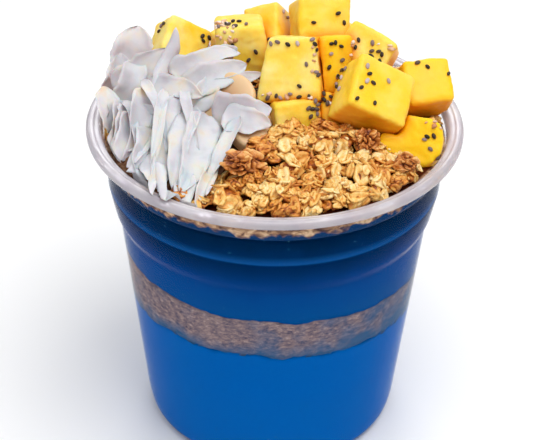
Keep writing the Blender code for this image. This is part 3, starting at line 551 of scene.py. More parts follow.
def toasted_oats(name, stops):
    """Rolled oats baked with syrup: pale gold to brown, with toasted specks and a low gloss."""
    finish, tree, shader = new_finish(name, 0.4, 1.45, Subsurface_Weight=0.1,
                                      Subsurface_Scale=0.001)
    place = add(tree, "ShaderNodeTexCoord").outputs["Object"]
    # The tone carries the toasting and the painted shade in creases, grooves and under clusters
    tone = add(tree, "ShaderNodeAttribute", attribute_name="tone").outputs["Fac"]
    # Toasting varies over about 1.5 mm, with finer bran specks
    toast = add(tree, "ShaderNodeTexNoise", {"Vector": place, "Scale": 1 / (1.5 * MM),
                                             "Detail": 6.0, "Roughness": 0.65})
    spread = add(tree, "ShaderNodeMapRange", {"Value": toast.outputs["Fac"], "From Min": 0.3,
                                              "From Max": 0.7, "To Min": -0.22, "To Max": 0.22})
    total = add(tree, "ShaderNodeMath", {0: tone, 1: spread.outputs["Result"]}, operation="ADD")
    colour = add(tree, "ShaderNodeValToRGB", {"Fac": total.outputs["Value"]}, stops)
    bump = add(tree, "ShaderNodeBump", {"Height": toast.outputs["Fac"], "Strength": 0.6,
                                        "Distance": 0.35 * MM})
    tree.links.new(colour.outputs["Color"], shader.inputs["Base Color"])
    tree.links.new(bump.outputs["Normal"], shader.inputs["Normal"])
    return finish


def bed_of_granola():
    """Crushed granola under the oats: painted shade in dark brown for the gaps, soaked blue in patches
    at the wall.
    """
    finish, tree, shader = new_finish("crushed_granola", 0.6, 1.45, Specular_IOR_Level=0.05)
    place = add(tree, "ShaderNodeTexCoord").outputs["Object"]
    # Oats and crumbs 3 mm across, drawn out round the tub
    lie = add(tree, "ShaderNodeMapping", {"Vector": place, "Scale": (1.0, 1.0, 1.7)})
    oat = add(tree, "ShaderNodeTexNoise", {"Vector": lie.outputs["Vector"], "Scale": 1 / (3.2 * MM),
                                           "Detail": 5.0, "Distortion": 0.8})
    colour = add(tree, "ShaderNodeValToRGB", {"Fac": oat.outputs["Fac"]},
                 ((0.34, "5A4240"), (0.66, "F0D0A8"), (0.43, "8E6E5C"), (0.5, "B48C6C"),
                  (0.57, "D0A884")))
    # Below the collar's foot all is blue, and above it the blue ends in patches 5 mm across
    patch = add(tree, "ShaderNodeTexNoise", {"Vector": place, "Scale": 1 / (5 * MM), "Detail": 3.0})
    height = add(tree, "ShaderNodeSeparateXYZ", {"Vector": place}).outputs["Z"]
    low = add(tree, "ShaderNodeMapRange", {"Value": height, "From Min": 0.098, "From Max": 0.1015,
                                           "To Min": 0.35, "To Max": -0.1})
    wet = add(tree, "ShaderNodeMath", {0: patch.outputs["Fac"], 1: low.outputs["Result"]},
              operation="ADD")
    soak = add(tree, "ShaderNodeMapRange", {"Value": wet.outputs["Value"], "From Min": 0.5,
                                            "From Max": 0.62})
    blue = add(tree, "ShaderNodeMix", {0: soak.outputs["Result"], 6: colour.outputs["Color"],
                                       7: srgb("0A3F74")}, data_type="RGBA")
    # Painted shade: a tone of 1 turns the bed dark brown, standing in for the shade in the gaps between
    # clusters
    gap_shade = add(tree, "ShaderNodeAttribute", attribute_name="tone").outputs["Fac"]
    shaded_gaps = add(tree, "ShaderNodeMix", {0: gap_shade, 6: blue.outputs[2], 7: srgb("4A1C07")},
               data_type="RGBA")
    tree.links.new(shaded_gaps.outputs[2], shader.inputs["Base Color"])
    return finish


def mango_flesh():
    """Ripe mango flesh, knife cut: moist and slightly translucent, with painted shade in deeper orange
    between chunks and on their lower sides.
    """
    finish, tree, shader = new_finish("mango_flesh", 0.42, 1.38, Subsurface_Weight=0.4,
                                      Subsurface_Scale=0.003, Specular_IOR_Level=0.35)
    shader.inputs["Subsurface Radius"].default_value = (1.0, 0.5, 0.1)
    spot = add(tree, "ShaderNodeTexCoord")
    place = spot.outputs["Object"]
    ripe = add(tree, "ShaderNodeTexNoise", {"Vector": place, "Scale": 1 / (8 * MM), "Detail": 5.0})
    young = add(tree, "ShaderNodeValToRGB", {"Fac": ripe.outputs["Fac"]},
                ((0.3, "FBCC2C"), (0.7, "FCE48E"), (0.5, "FDD95E")))
    chunk = add(tree, "ShaderNodeAttribute", attribute_name="ripe").outputs["Fac"]
    pale = add(tree, "ShaderNodeMix", {0: chunk, 6: young.outputs["Color"], 7: srgb("FFC900")},
               data_type="RGBA")
    # Painted shade: deeper orange between chunks and on their lower sides
    contact_shade = add(tree, "ShaderNodeAttribute", attribute_name="tone").outputs["Fac"]
    lean = add(tree, "ShaderNodeSeparateXYZ", {"Vector": spot.outputs["Normal"]}).outputs["Z"]
    under = add(tree, "ShaderNodeMapRange", {"Value": lean, "From Min": 0.2, "From Max": -0.65,
                                             "To Max": 0.9})
    painted_shade = add(tree, "ShaderNodeMath", {0: contact_shade, 1: under.outputs["Result"]}, operation="MAXIMUM")
    colour = add(tree, "ShaderNodeMix", {0: painted_shade.outputs["Value"], 6: pale.outputs[2],
                                         7: srgb("EC9206")}, data_type="RGBA")
    # Fibres 0.6 mm apart that run along the fruit
    lie = add(tree, "ShaderNodeMapping", {"Vector": place, "Scale": (1600, 1600, 400),
                                          "Rotation": (0.5, 0.4, 0.0)})
    fibre = add(tree, "ShaderNodeTexNoise", {"Vector": lie.outputs["Vector"], "Scale": 1.0,
                                             "Detail": 4.0})
    bump = add(tree, "ShaderNodeBump", {"Height": fibre.outputs["Fac"], "Strength": 0.2,
                                        "Distance": 0.25 * MM})
    gloss = add(tree, "ShaderNodeMapRange", {"Value": ripe.outputs["Fac"], "To Min": 0.3,
                                             "To Max": 0.55})
    tree.links.new(colour.outputs[2], shader.inputs["Base Color"])
    tree.links.new(gloss.outputs["Result"], shader.inputs["Roughness"])
    tree.links.new(bump.outputs["Normal"], shader.inputs["Normal"])
    return finish


def coconut_flesh():
    """Shaved dried coconut: satin white, thin enough for some light to pass."""
    finish, tree, shader = new_finish("coconut_flesh", 0.5, 1.45, Subsurface_Weight=0.3,
                                      Subsurface_Scale=0.001, Specular_IOR_Level=0.35)
    place = add(tree, "ShaderNodeTexCoord").outputs["Object"]
    # Cool white, warmer in streaks 8 mm apart where the shred was next to the brown skin
    cream = add(tree, "ShaderNodeTexNoise", {"Vector": place, "Scale": 1 / (8 * MM), "Detail": 4.0})
    colour = add(tree, "ShaderNodeValToRGB", {"Fac": cream.outputs["Fac"]},
                 ((0.36, "C6C5CB"), (0.78, "DFC39A"), (0.5, "D3D2D7"), (0.62, "DAD4CE")))
    grain = add(tree, "ShaderNodeTexNoise",
                {"Vector": place, "Scale": 1 / (0.8 * MM), "Detail": 3.0})
    bump = add(tree, "ShaderNodeBump", {"Height": grain.outputs["Fac"], "Strength": 0.2,
                                        "Distance": 0.15 * MM})
    tree.links.new(colour.outputs["Color"], shader.inputs["Base Color"])
    tree.links.new(bump.outputs["Normal"], shader.inputs["Normal"])
    return finish


def nut_crumbs():
    """Finely chopped nuts: matt, pinkish cream."""
    finish, tree, shader = new_finish("nut_crumbs", 0.6, 1.45)
    tone = add(tree, "ShaderNodeAttribute", attribute_name="tone").outputs["Fac"]
    colour = add(tree, "ShaderNodeValToRGB", {"Fac": tone},
                 ((0.0, "F6E6DA"), (1.0, "C98A5C"), (0.5, "EBC9AE")))
    tree.links.new(colour.outputs["Color"], shader.inputs["Base Color"])
    return finish


def banana_flesh():
    """Sliced ripe banana: beige and moist, browner round its seeds."""
    finish, tree, shader = new_finish("banana_flesh", 0.42, 1.4, Subsurface_Weight=0.25,
                                      Subsurface_Scale=0.002)
    tone = add(tree, "ShaderNodeAttribute", attribute_name="tone").outputs["Fac"]
    colour = add(tree, "ShaderNodeValToRGB", {"Fac": tone},
                 ((0.0, "B4875E"), (1.0, "E6C69A"), (0.25, "A07248"), (0.45, "C69C74")))
    tree.links.new(colour.outputs["Color"], shader.inputs["Base Color"])
    return finish


def seed_hulls():
    """Chia seed hulls: smooth, dark brown to grey, some lilac and a few nearly white."""
    finish, tree, shader = new_finish("chia_hulls", 0.42, 1.5, Specular_IOR_Level=0.3)
    tone = add(tree, "ShaderNodeAttribute", attribute_name="tone").outputs["Fac"]
    colour = add(tree, "ShaderNodeValToRGB", {"Fac": tone},
                 ((0.0, "221812"), (1.0, "DCC8C8"), (0.5, "3E2F28"), (0.7, "6A5852"), (0.88, "947E80")))
    tree.links.new(colour.outputs["Color"], shader.inputs["Base Color"])
    return finish


# The tub and what fills it

WALL_CURVE = rounded_outline(WALL_OUTSIDE, 1.0 * MM)


def contents_radius(height):
    """How far the food reaches at a height: just into the wall, so that no gap shows."""
    points = WALL_CURVE
    for low, high in zip(points, points[1:]):
        if low.y <= height <= high.y and high.y > low.y:
            share = (height - low.y) / (high.y - low.y)
            return low.x + share * (high.x - low.x) - WALL + FILL_INTO_WALL
    return points[-1].x - WALL + FILL_INTO_WALL


def make_tub(clear, frosted):
    """The clear tub: foot ring, tapered wall with a stacking step, collar and rolled bead."""
    inside = [(radius - WALL, height + 0.2 * MM) for radius, height in WALL_OUTSIDE[2:]]
    inside.insert(0, (FLOOR_RADIUS, FLOOR))
    outline = rounded_outline(FOOT_UNDER + WALL_OUTSIDE + BEAD + inside[::-1], 0.9 * MM)
    bm = bmesh.new()
    rings = []
    for point in outline:
        rings.append(ring(bm, lambda angle: point.x, lambda x, y: point.y))
    skin(bm, rings)
    tub = object_from("tub_clear", bm, clear)
    tub.data.materials.append(frosted)
    for face in tub.data.polygons:
        face.material_index = int(face.center.z > BEAD_BOTTOM)
    return tub


def band_bottom(x, y):
    """The granola layer's lower face, drooping where it meets the wall at both ends."""
    droop = 3.4 * MM * (abs(x) / (44 * MM)) ** 4
    lumps = bumps(x, y, 9 * MM, 1.6 * MM, 3.0) + bumps(x, y, 2.6 * MM, 1.1 * MM, 6.0)
    return BAND_BOTTOM - 0.02 * x - droop + lumps


def band_top(x, y):
    """The granola layer's upper face, higher on the left."""
    droop = 3.0 * MM * smooth_step(34 * MM, 50 * MM, x)
    lumps = bumps(x, y, 11 * MM, 1.0 * MM, 8.0) + bumps(x, y, 3.0 * MM, 0.6 * MM, 9.0)
    return BAND_TOP - 0.05 * x - droop + lumps


def smoothie_top(x, y):
    return SMOOTHIE_TOP + bumps(x, y, 16 * MM, 0.6 * MM, 5.0)


def food_layer(name, low, high, finish):
    """One layer of food in the tub, out to the wall, between two uneven faces."""
    steps = max(8, int((high(0, 0) - low(0, 0)) / (1.5 * MM)))
    bm = bmesh.new()
    rings = []
    for share in (0.3, 0.6, 0.85):
        radius = share * contents_radius(low(0, 0))
        rings.append(ring(bm, lambda angle: radius, low))
    for step in range(steps + 1):
        points = []
        for side in range(TUB_SIDES):
            angle = 2 * math.pi * side / TUB_SIDES
            guess = contents_radius(low(0, 0))
            x = guess * math.cos(angle)
            y = guess * math.sin(angle)
            height = low(x, y) + (high(x, y) - low(x, y)) * step / steps
            radius = contents_radius(height)
            at_wall = (radius * math.cos(angle), radius * math.sin(angle), height)
            points.append(bm.verts.new(at_wall))
        rings.append(points)
    for share in (0.85, 0.6, 0.3):
        radius = share * contents_radius(high(0, 0))
        rings.append(ring(bm, lambda angle: radius, high))
    skin(bm, rings)
    layer = object_from(name, bm, finish)
    spots = [vert.co for vert in layer.data.vertices]
    shares = [(p.z - low(p.x, p.y)) / (high(p.x, p.y) - low(p.x, p.y)) for p in spots]
    mark(layer, "rise", shares)
    return layer


# The toppings

def chunk_block(row, grow=0.0):
    """A mango chunk as a plain block: slightly tapered and uneven, with eased edges."""
    name, centre, size, angles, taper, skin_round = row
    rng = random.Random(name)
    bm = bmesh.new()
    bmesh.ops.create_cube(bm, size=1.0)
    for vert in bm.verts:
        x = vert.co.x * (size[0] * MM + 2 * grow)
        y = vert.co.y * (size[1] * MM + 2 * grow)
        z = vert.co.z * (size[2] * MM + 2 * grow)
        if z > 0:
            x *= taper
        offset = Vector([rng.uniform(-CHUNK_UNEVEN, CHUNK_UNEVEN) for _ in range(3)])
        vert.co = Vector((x, y, z)) + offset
    if skin_round:
        outer = [edge for edge in bm.edges
                 if all(vert.co.x > 0 for vert in edge.verts)
                 and edge.verts[0].co.y * edge.verts[1].co.y < 0]
        bmesh.ops.bevel(bm, geom=outer, offset=skin_round * MM, segments=4,
                        affect="EDGES", profile=0.5)
    bmesh.ops.bevel(bm, geom=list(bm.edges), offset=CHUNK_BEVEL, segments=4,
                    affect="EDGES", profile=0.5, clamp_overlap=True)
    bmesh.ops.transform(bm, matrix=turn(*angles).to_4x4(), verts=bm.verts)
    bmesh.ops.translate(bm, vec=vector_mm(centre), verts=bm.verts)
    return bm


def mouth_ring():
    """A ring a little fatter than the tub's rim, which trims what leans on the rim."""
    inner = MOUTH_RADIUS - 1.3 * MM
    outer = RIM_RADIUS + 3 * MM
    bottom = TUB_HEIGHT - 18 * MM
    outline = [(inner, bottom), (outer, bottom), (outer, TUB_HEIGHT + 0.3 * MM),
               (MOUTH_RADIUS - 0.3 * MM, TUB_HEIGHT + 0.3 * MM), (inner, TUB_HEIGHT - 2 * MM)]
    bm = bmesh.new()
    rings = []
    for radius, height in outline:
        rings.append(ring(bm, lambda angle: radius, lambda x, y: height, 80))
    skin(bm, rings + rings[:1], closed=False)
    return bm


def make_chunk(row, earlier, finish):
    """One mango chunk, cut back where it meets earlier ones, softened and made uneven."""
    chunk = object_from(row[0].replace("chunk", "piece"), chunk_block(row), finish)
    cutters = [object_from("cutter", chunk_block(other, CHUNK_GAP), finish) for other in earlier]
    cutters.append(object_from("cutter", mouth_ring(), finish))
    space = search_tree(chunk)
    for cutter in cutters:
        if space.overlap(search_tree(cutter)):
            cut = chunk.modifiers.new("cut", "BOOLEAN")
            cut.operation = "DIFFERENCE"
            cut.solver = "EXACT"
            cut.object = cutter
    remesh = chunk.modifiers.new("remesh", "REMESH")
    remesh.mode = "VOXEL"
    remesh.voxel_size = CHUNK_VOXEL
    smooth = chunk.modifiers.new("soften", "SMOOTH")
    smooth.iterations = 10
    smooth.factor = 0.5
    baked(chunk)
    for cutter in cutters:
        bpy.data.objects.remove(cutter)
    for vert in chunk.data.vertices:
        knife = 0.5 * noise(vert.co / (6 * MM)) + 0.16 * noise(vert.co / (1.8 * MM))
        vert.co += vert.normal * (knife - 0.05) * MM
    chunk.data.polygons.foreach_set("use_smooth", [True] * len(chunk.data.polygons))
    return chunk


def mark_closeness(chunks, trees):
    """A tone of 1 where a chunk touches another one, fading to 0 some way off, for painted shade
    between chunks, and its ripeness.
    """
    for name, chunk in chunks.items():
        others = [tree for key, tree in trees.items() if key != name]
        tones = []
        for vert in chunk.data.vertices:
            nearest = CLOSE_REACH
            for other in others:
                distance = other.find_nearest(vert.co, nearest)[3]
                if distance is not None:
                    nearest = distance
            tones.append((1 - nearest / CLOSE_REACH) ** 1.3)
        mark(chunk, "tone", tones)
        mark(chunk, "ripe", [RIPER.get(name, 0.0)] * len(tones))


def places_on_chunks(groups, trees):
    """Places and facing of small things that lie on the chunks' faces."""
    places = []
    rng = random.Random("chia")
    rows = {row[0]: row for row in MANGO_CHUNKS}
    for name, face, middle, spread, count in groups:
        _, centre, size, angles, _, _ = rows[name]
        out, across, up = FACES[face]
        rotation = turn(*angles)
        half = vector_mm(size) / 2
        for _ in range(count):
            a = min(max(middle[0] + rng.uniform(-1, 1) * spread[0], -0.9), 0.9)
            b = min(max(middle[1] + rng.uniform(-1, 1) * spread[1], -0.9), 0.9)
            local = out * 1.7 + across * a + up * b
            local = Vector((local.x * half.x, local.y * half.y, local.z * half.z))
            start = vector_mm(centre) + rotation @ local
            point, normal, _, _ = trees[name].ray_cast(start, -(rotation @ out), 20 * MM)
            if point is None:
                continue
            hidden = any(other.find_nearest(point, CHIA_CLEAR)[0]
                         for key, other in trees.items() if key != name)
            crowded = any((point - place).length < CHIA_APART for place, _ in places)
            if not hidden and not crowded:
                places.append((point, normal))
    return places


def unit_ball(detail):
    """The points and faces of a small ball, to be copied many times."""
    bm = bmesh.new()
    bmesh.ops.create_icosphere(bm, subdivisions=detail, radius=1.0)
    points = np.array([vert.co[:] for vert in bm.verts])
    faces = np.array([[vert.index for vert in face.verts] for face in bm.faces])
    bm.free()
    return points, faces, np.zeros(len(points))


def copies(shape, places):
    """Joined copies of one shape: each place is (centre, 3x3 rotation and size, tone)."""
    points, faces, shades = shape
    all_points = []
    all_faces = []
    all_tones = []
    for index, (centre, frame_of, tone) in enumerate(places):
        all_points.append(points @ np.array(frame_of).T + np.array(centre))
        all_faces.append(faces + index * len(points))
        all_tones.append(tone + shades)
    return np.concatenate(all_points), np.concatenate(all_faces), np.concatenate(all_tones)


def make_nut_crumbs(trees, finish):
    """Chopped nuts caught on the edges of the mango."""
    rng = random.Random("nuts")
    places = []
    for point, normal in places_on_chunks(NUT_GROUPS, trees):
        size = rng.uniform(0.4, 0.9) * MM
        stretch = Matrix.Diagonal((rng.uniform(0.8, 1.7), rng.uniform(0.7, 1.1), 0.7))
        spin = turn(rng.uniform(0, 360), rng.uniform(0, 360), 0)
        places.append((point + normal * 0.3 * size, spin @ stretch * size, rng.random()))
    points, faces, tones = copies(lumpy_ball(2, 5), places)
    return object_from_arrays("chopped_nuts", points, faces, finish, tones)


def make_chia(trees, finish):
    """The chia seeds that lie on the mango."""
    rng = random.Random("hulls")
    places = []
    for point, normal in places_on_chunks(CHIA_GROUPS, trees):
        rotation = normal.to_track_quat("Z", "Y").to_matrix()
        rotation = rotation @ Matrix.Rotation(rng.uniform(0, math.pi), 3, "Z")
        frame_of = rotation @ Matrix.Diagonal(Vector(CHIA_SIZE) * rng.uniform(0.9, 1.15))
        places.append((point + normal * 0.35 * MM, frame_of, rng.random()))
    points, faces, tones = copies(unit_ball(2), places)
    return object_from_arrays("chia_seeds", points, faces, finish, tones)


def make_walnut(row, finish):
    """A walnut piece: uneven lobes with deep, winding grooves, painted darkest at the bottom of the
    grooves as shade.
    """
    name, centre, size, angles = row
    points, faces, _ = unit_ball(6)
    half = vector_mm(size) / 2
    rotation = turn(*angles)
    key = Vector(centre)
    made = []
    tones = []
    for point in points:
        spot = Vector(point)
        warp = Vector((noise(spot * 1.3 + key), noise(spot * 1.3 - key),
                       noise(spot.zxy * 1.3 + key)))
        bent = spot + 0.55 * warp
        lobe = min(abs(noise(bent * 1.25 + key)) * 2.6, 1.0)
        ridge = min(abs(noise(bent * 2.7 - key)) * 2.6, 1.0)
        depth = 0.55 * lobe ** 0.6 + 0.3 * ridge ** 0.6
        swell = 0.45 + depth * 0.85 + 0.22 * noise(spot * 0.8 + key)
        local = Vector((spot.x * half.x, spot.y * half.y, spot.z * half.z)) * swell
        made.append(vector_mm(centre) + rotation @ local)
        # Painted shade: the deeper a point lies in a groove, the darker its tone
        tones.append(1.0 - 1.15 * depth)
    return object_from_arrays(name + "_meat", np.array(made), faces, finish, np.array(tones))


def make_banana(row, finish):
    """A banana slice with soft edges and a ring of seed marks."""
    name, centre, radius, angles = row
    half = BANANA_THICKNESS / 2
    outline = rounded_outline([(0.2 * radius, -half), (radius, -half), (radius, half),
                               (0.2 * radius, half)], 1.2 * MM)
    bm = bmesh.new()
    rings = []
    for point in outline:
        rings.append(ring(bm, lambda angle: point.x * (1 + 0.04 * math.sin(3 * angle)),
                          lambda x, y: point.y, 48))
    skin(bm, rings)
    bmesh.ops.transform(bm, matrix=turn(*angles).to_4x4(), verts=bm.verts)
    bmesh.ops.translate(bm, vec=vector_mm(centre), verts=bm.verts)
    slice_of = object_from(name.replace("slice", "round"), bm, finish)
    middle = vector_mm(centre)
    mark(slice_of, "tone", [(vert.co - middle).length / radius for vert in slice_of.data.vertices])
    return slice_of


def coconut_distance(x, y):
    """1 on the edge of the coconut's patch, less inside it."""
    across = (x - COCONUT_CENTRE.x) / COCONUT_HALF[0]
    along = (y - COCONUT_CENTRE.y) / COCONUT_HALF[1]
    return math.hypot(across, along)


def bed_height(x, y):
    """The granola's surface: crowned in front, a mound under the mango, level at the left."""
    share = math.hypot(x, y) / BED_EDGE
    crown = CROWN_AT_WALL + (BED_CROWN - BED_LOW) * (1 - share * share)
    front = 1 - smooth_step(-16 * MM, 4 * MM, y)
    away = (Vector((x, y, 0.0)) - MOUND_CENTRE).length / MOUND_SPREAD
    mound = MOUND_RISE * math.exp(-0.5 * away * away) * (1 - 0.5 * share ** 6)
    clear = smooth_step(1.06, 1.35, coconut_distance(x, y))
    return BED_LOW + max(crown * front, mound) * clear


def rough_bed(x, y):
    """The bed's surface with the relief of crumbs finer than an oat."""
    crumbs = (0.9 * noise(Vector((x, y, 0.0)) / (3.2 * MM))
              + 0.4 * noise(Vector((x, y, 1.0)) / (1.2 * MM)))
    return bed_height(x, y) - 1.2 * MM + crumbs * MM


def make_granola_bed(finish):
    """The core under the loose oats, out to the wall and down to the smoothie."""
    bm = bmesh.new()
    rings = []
    for share in (0.3, 0.7):
        rings.append(ring(bm, lambda angle: share * BED_EDGE, smoothie_top))
    for height in (SMOOTHIE_TOP, 98.6 * MM, 99.6 * MM, 101 * MM, 102.4 * MM):
        radius = contents_radius(height)
        rings.append(ring(bm, lambda angle: radius, lambda x, y: height))
    for step in range(44):
        radius = BED_EDGE * (1 - step / 44)
        rings.append(ring(bm, lambda angle: radius, rough_bed))
    skin(bm, rings)
    bed = object_from("granola_core", bm, finish)
    # Painted shade: the top under the oats gets a tone of 1 and is drawn dark brown; the side at the
    # wall keeps its own colour
    reaches = [vert.co.xy.length for vert in bed.data.vertices]
    mark(bed, "tone", [float(reach < BED_EDGE - 0.5 * MM) for reach in reaches])
    return bed


def oat_flake(key):
    """A rolled oat, one of several shapes: creased, curled, with a ragged, toasted edge, and painted
    shade along its crease and on its underside.
    """
    rng = random.Random(key)
    curl = rng.uniform(-0.5, 1.4)
    crease = rng.uniform(0.7, 1.4)
    twist = rng.uniform(-0.9, 0.9)
    centre_line = rng.uniform(-0.15, 0.15)
    points = [(0.0, 0.0, 0.3 * OAT_THICKNESS)]
    # Painted shade: the top's middle point lies in the crease and is darker
    shades = [0.16]
    for share, top in ((0.36, 0.42), (0.72, 0.5), (1.0, 0.0)):
        for side in range(OAT_SIDES):
            angle = 2 * math.pi * side / OAT_SIDES
            ragged = 1 + 0.32 * noise(Vector((math.cos(angle), math.sin(angle), key)) * 1.7)
            x = share * ragged * math.cos(angle)
            y = share * ragged * math.sin(angle)
            fold = min(abs(y - centre_line), 0.55)
            lift = curl * x * x + crease * fold + twist * x * y
            points.append((0.5 * OAT_LENGTH * x, 0.5 * OAT_WIDTH * y, (top + lift) * OAT_THICKNESS))
            # Painted shade darkens the crease; the brown edge is the oat's own toasting
            edge = max(share - 0.72, 0.0) * 0.7
            shades.append(0.22 * (1 - min(fold / 0.3, 1.0)) + edge - 0.04)
    # Painted shade: the underside is darker
    points.append((0.0, 0.0, -0.5 * OAT_THICKNESS))
    shades.append(0.3)
    faces = []
    for side in range(OAT_SIDES):
        after = (side + 1) % OAT_SIDES
        faces.append((0, 1 + side, 1 + after))
        for level in range(2):
            low = 1 + level * OAT_SIDES
            high = low + OAT_SIDES
            faces.append((low + side, high + side, high + after))
            faces.append((low + side, high + after, low + after))
        last = 1 + 2 * OAT_SIDES
        faces.append((len(points) - 1, last + after, last + side))
    return np.array(points), np.array(faces), np.array(shades)


def lumpy_ball(detail, key):
    """A ball with uneven lumps."""
    points, faces, _ = unit_ball(detail)
    swell = [1 + 0.55 * noise(Vector(point) * 1.6 + Vector((key, 0, 0))) for point in points]
    return points * np.array(swell)[:, None], faces, np.zeros(len(points))


def clear_of(point, margin, solids):
    """Whether a point is outside the solids and at least a margin away from them."""
    for solid in solids:
        nearest, normal, _, distance = solid.find_nearest(point)
        if distance < margin or (point - nearest).dot(normal) < 0:
            return False
    return True


def cluster_places(solids):
    """Centres and half lengths of the clusters, over the bed and clear of the toppings.

    The largest size allowed shrinks as the tries go on, so small clusters fill the gaps.
    """
    rng = random.Random("clusters")
    places = []
    for attempt in range(CLUSTER_TRIES):
        if len(places) == CLUSTERS:
            break
        largest = CLUSTER_LARGEST - CLUSTER_SHRINK * attempt / CLUSTER_TRIES
        size = rng.uniform(CLUSTER_SMALLEST, largest) * MM
        angle = rng.uniform(-math.pi, math.pi)
        radius = (BED_EDGE - 0.45 * size) * math.sqrt(rng.random())
        x = radius * math.cos(angle)
        y = radius * math.sin(angle)
        if coconut_distance(x, y) < 0.95:
            continue
        height = bed_height(x, y) + rng.uniform(-0.1, 0.35) * size
        centre = Vector((x, y, height))
        crowded = any((centre - other).length < 0.62 * (size + other_size)
                      for other, other_size in places)
        if not crowded and clear_of(centre, 0.6 * size, solids):
            places.append((centre, size))
    return places


def random_vector(rng):
    return Vector([rng.uniform(-1, 1) for _ in range(3)])


def pressed_to_wall(points):
    """Points past the wall are moved in to it, as crumbs that lie against it."""
    reach = np.hypot(points[:, 0], points[:, 1])
    share = np.minimum(1.0, PRESSED_RADIUS / reach)
    points[:, :2] *= share[:, None]
    return points


def make_clusters(solids, oat_finish, binder_finish):
    """Clusters: creased oats lying roughly one way on a sticky binder, with crumbs. The binder is dark,
    partly its own colour and partly painted shade; oats under a cluster are painted darker as shade.
    """
    rng = random.Random("oats")
    oats = [[] for _ in range(OAT_SHAPES)]
    binders_and_shade = [[] for _ in range(OAT_SHAPES)]
    crumbs = []
    for centre, size in cluster_places(solids):
        base = rng.choice((0.02, 0.1, 0.18, 0.26, 0.42))
        spin = turn(rng.uniform(0, 360), rng.uniform(-25, 25), rng.uniform(-25, 25))
        squash = Matrix.Diagonal(CLUSTER_SQUASH * size)
        binder_and_shade = binders_and_shade[rng.randrange(OAT_SHAPES)]
        # The binder's dark tone is partly the syrup's own colour and partly painted shade in the
        # cluster's crevices
        binder_and_shade.append((centre, spin @ squash * 0.7, rng.uniform(0.55, 0.8)))
        for _ in range(CLUSTER_OATS):
            out = Vector((rng.gauss(0, 1), rng.gauss(0, 1), abs(rng.gauss(0, 0.9)) - 0.2))
            out = out.normalized()
            offset = spin @ (squash @ out) * rng.uniform(0.6, 0.9)
            up = spin @ Vector((0, 0, 1))
            facing = (0.7 * up + 0.8 * offset.normalized() + 0.45 * random_vector(rng)).normalized()
            along = (spin @ Vector((1, 0, 0)) + 0.8 * random_vector(rng)).normalized()
            across = facing.cross(along).normalized()
            rotation = Matrix((across.cross(facing), across, facing)).transposed()
            # Painted shade: oats on the underside of a cluster are darker, those on top paler
            tone = base + rng.uniform(-0.06, 0.12) - 0.12 * offset.normalized().z + 0.08
            scale = rng.uniform(0.65, 1.15) * (0.55 + 0.1 * size / MM)
            oats[rng.randrange(OAT_SHAPES)].append((centre + offset, rotation * scale, tone))
        for _ in range(CLUSTER_CRUMBS):
            out = Vector((rng.gauss(0, 1), rng.gauss(0, 1), abs(rng.gauss(0, 1)))).normalized()
            stretch = Matrix.Diagonal((rng.uniform(0.7, 1.9), rng.uniform(0.7, 1.2), 0.7))
            twirl = turn(rng.uniform(0, 360), rng.uniform(0, 360), 0)
            crumbs.append((centre + spin @ (squash @ out) * rng.uniform(0.9, 1.2),
                           twirl @ stretch * CRUMB_SIZE, base + rng.uniform(-0.1, 0.3)))
    flakes = joined([copies(oat_flake(key), oats[key]) for key in range(OAT_SHAPES)])
    lumps = joined([copies(lumpy_ball(3, key), binders_and_shade[key]) for key in range(OAT_SHAPES)])
    bits = copies(lumpy_ball(1, 3), crumbs)
    made = []
    for name, (points, faces, tones), finish in (("oat_clusters", flakes, oat_finish),
                                                 ("oat_binders", lumps, binder_finish),
                                                 ("oat_crumbs", bits, oat_finish)):
        tones = np.clip(tones, 0.0, 1.0)
        made.append(object_from_arrays(name, pressed_to_wall(points), faces, finish, tones))
    return made


def joined(parts):
    """Several sets of points, faces and tones as one."""
    points, faces, tones = [], [], []
    count = 0
    for part_points, part_faces, part_tones in parts:
        points.append(part_points)
        faces.append(part_faces + count)
        tones.append(part_tones)
        count += len(part_points)
    return np.concatenate(points), np.concatenate(faces), np.concatenate(tones)


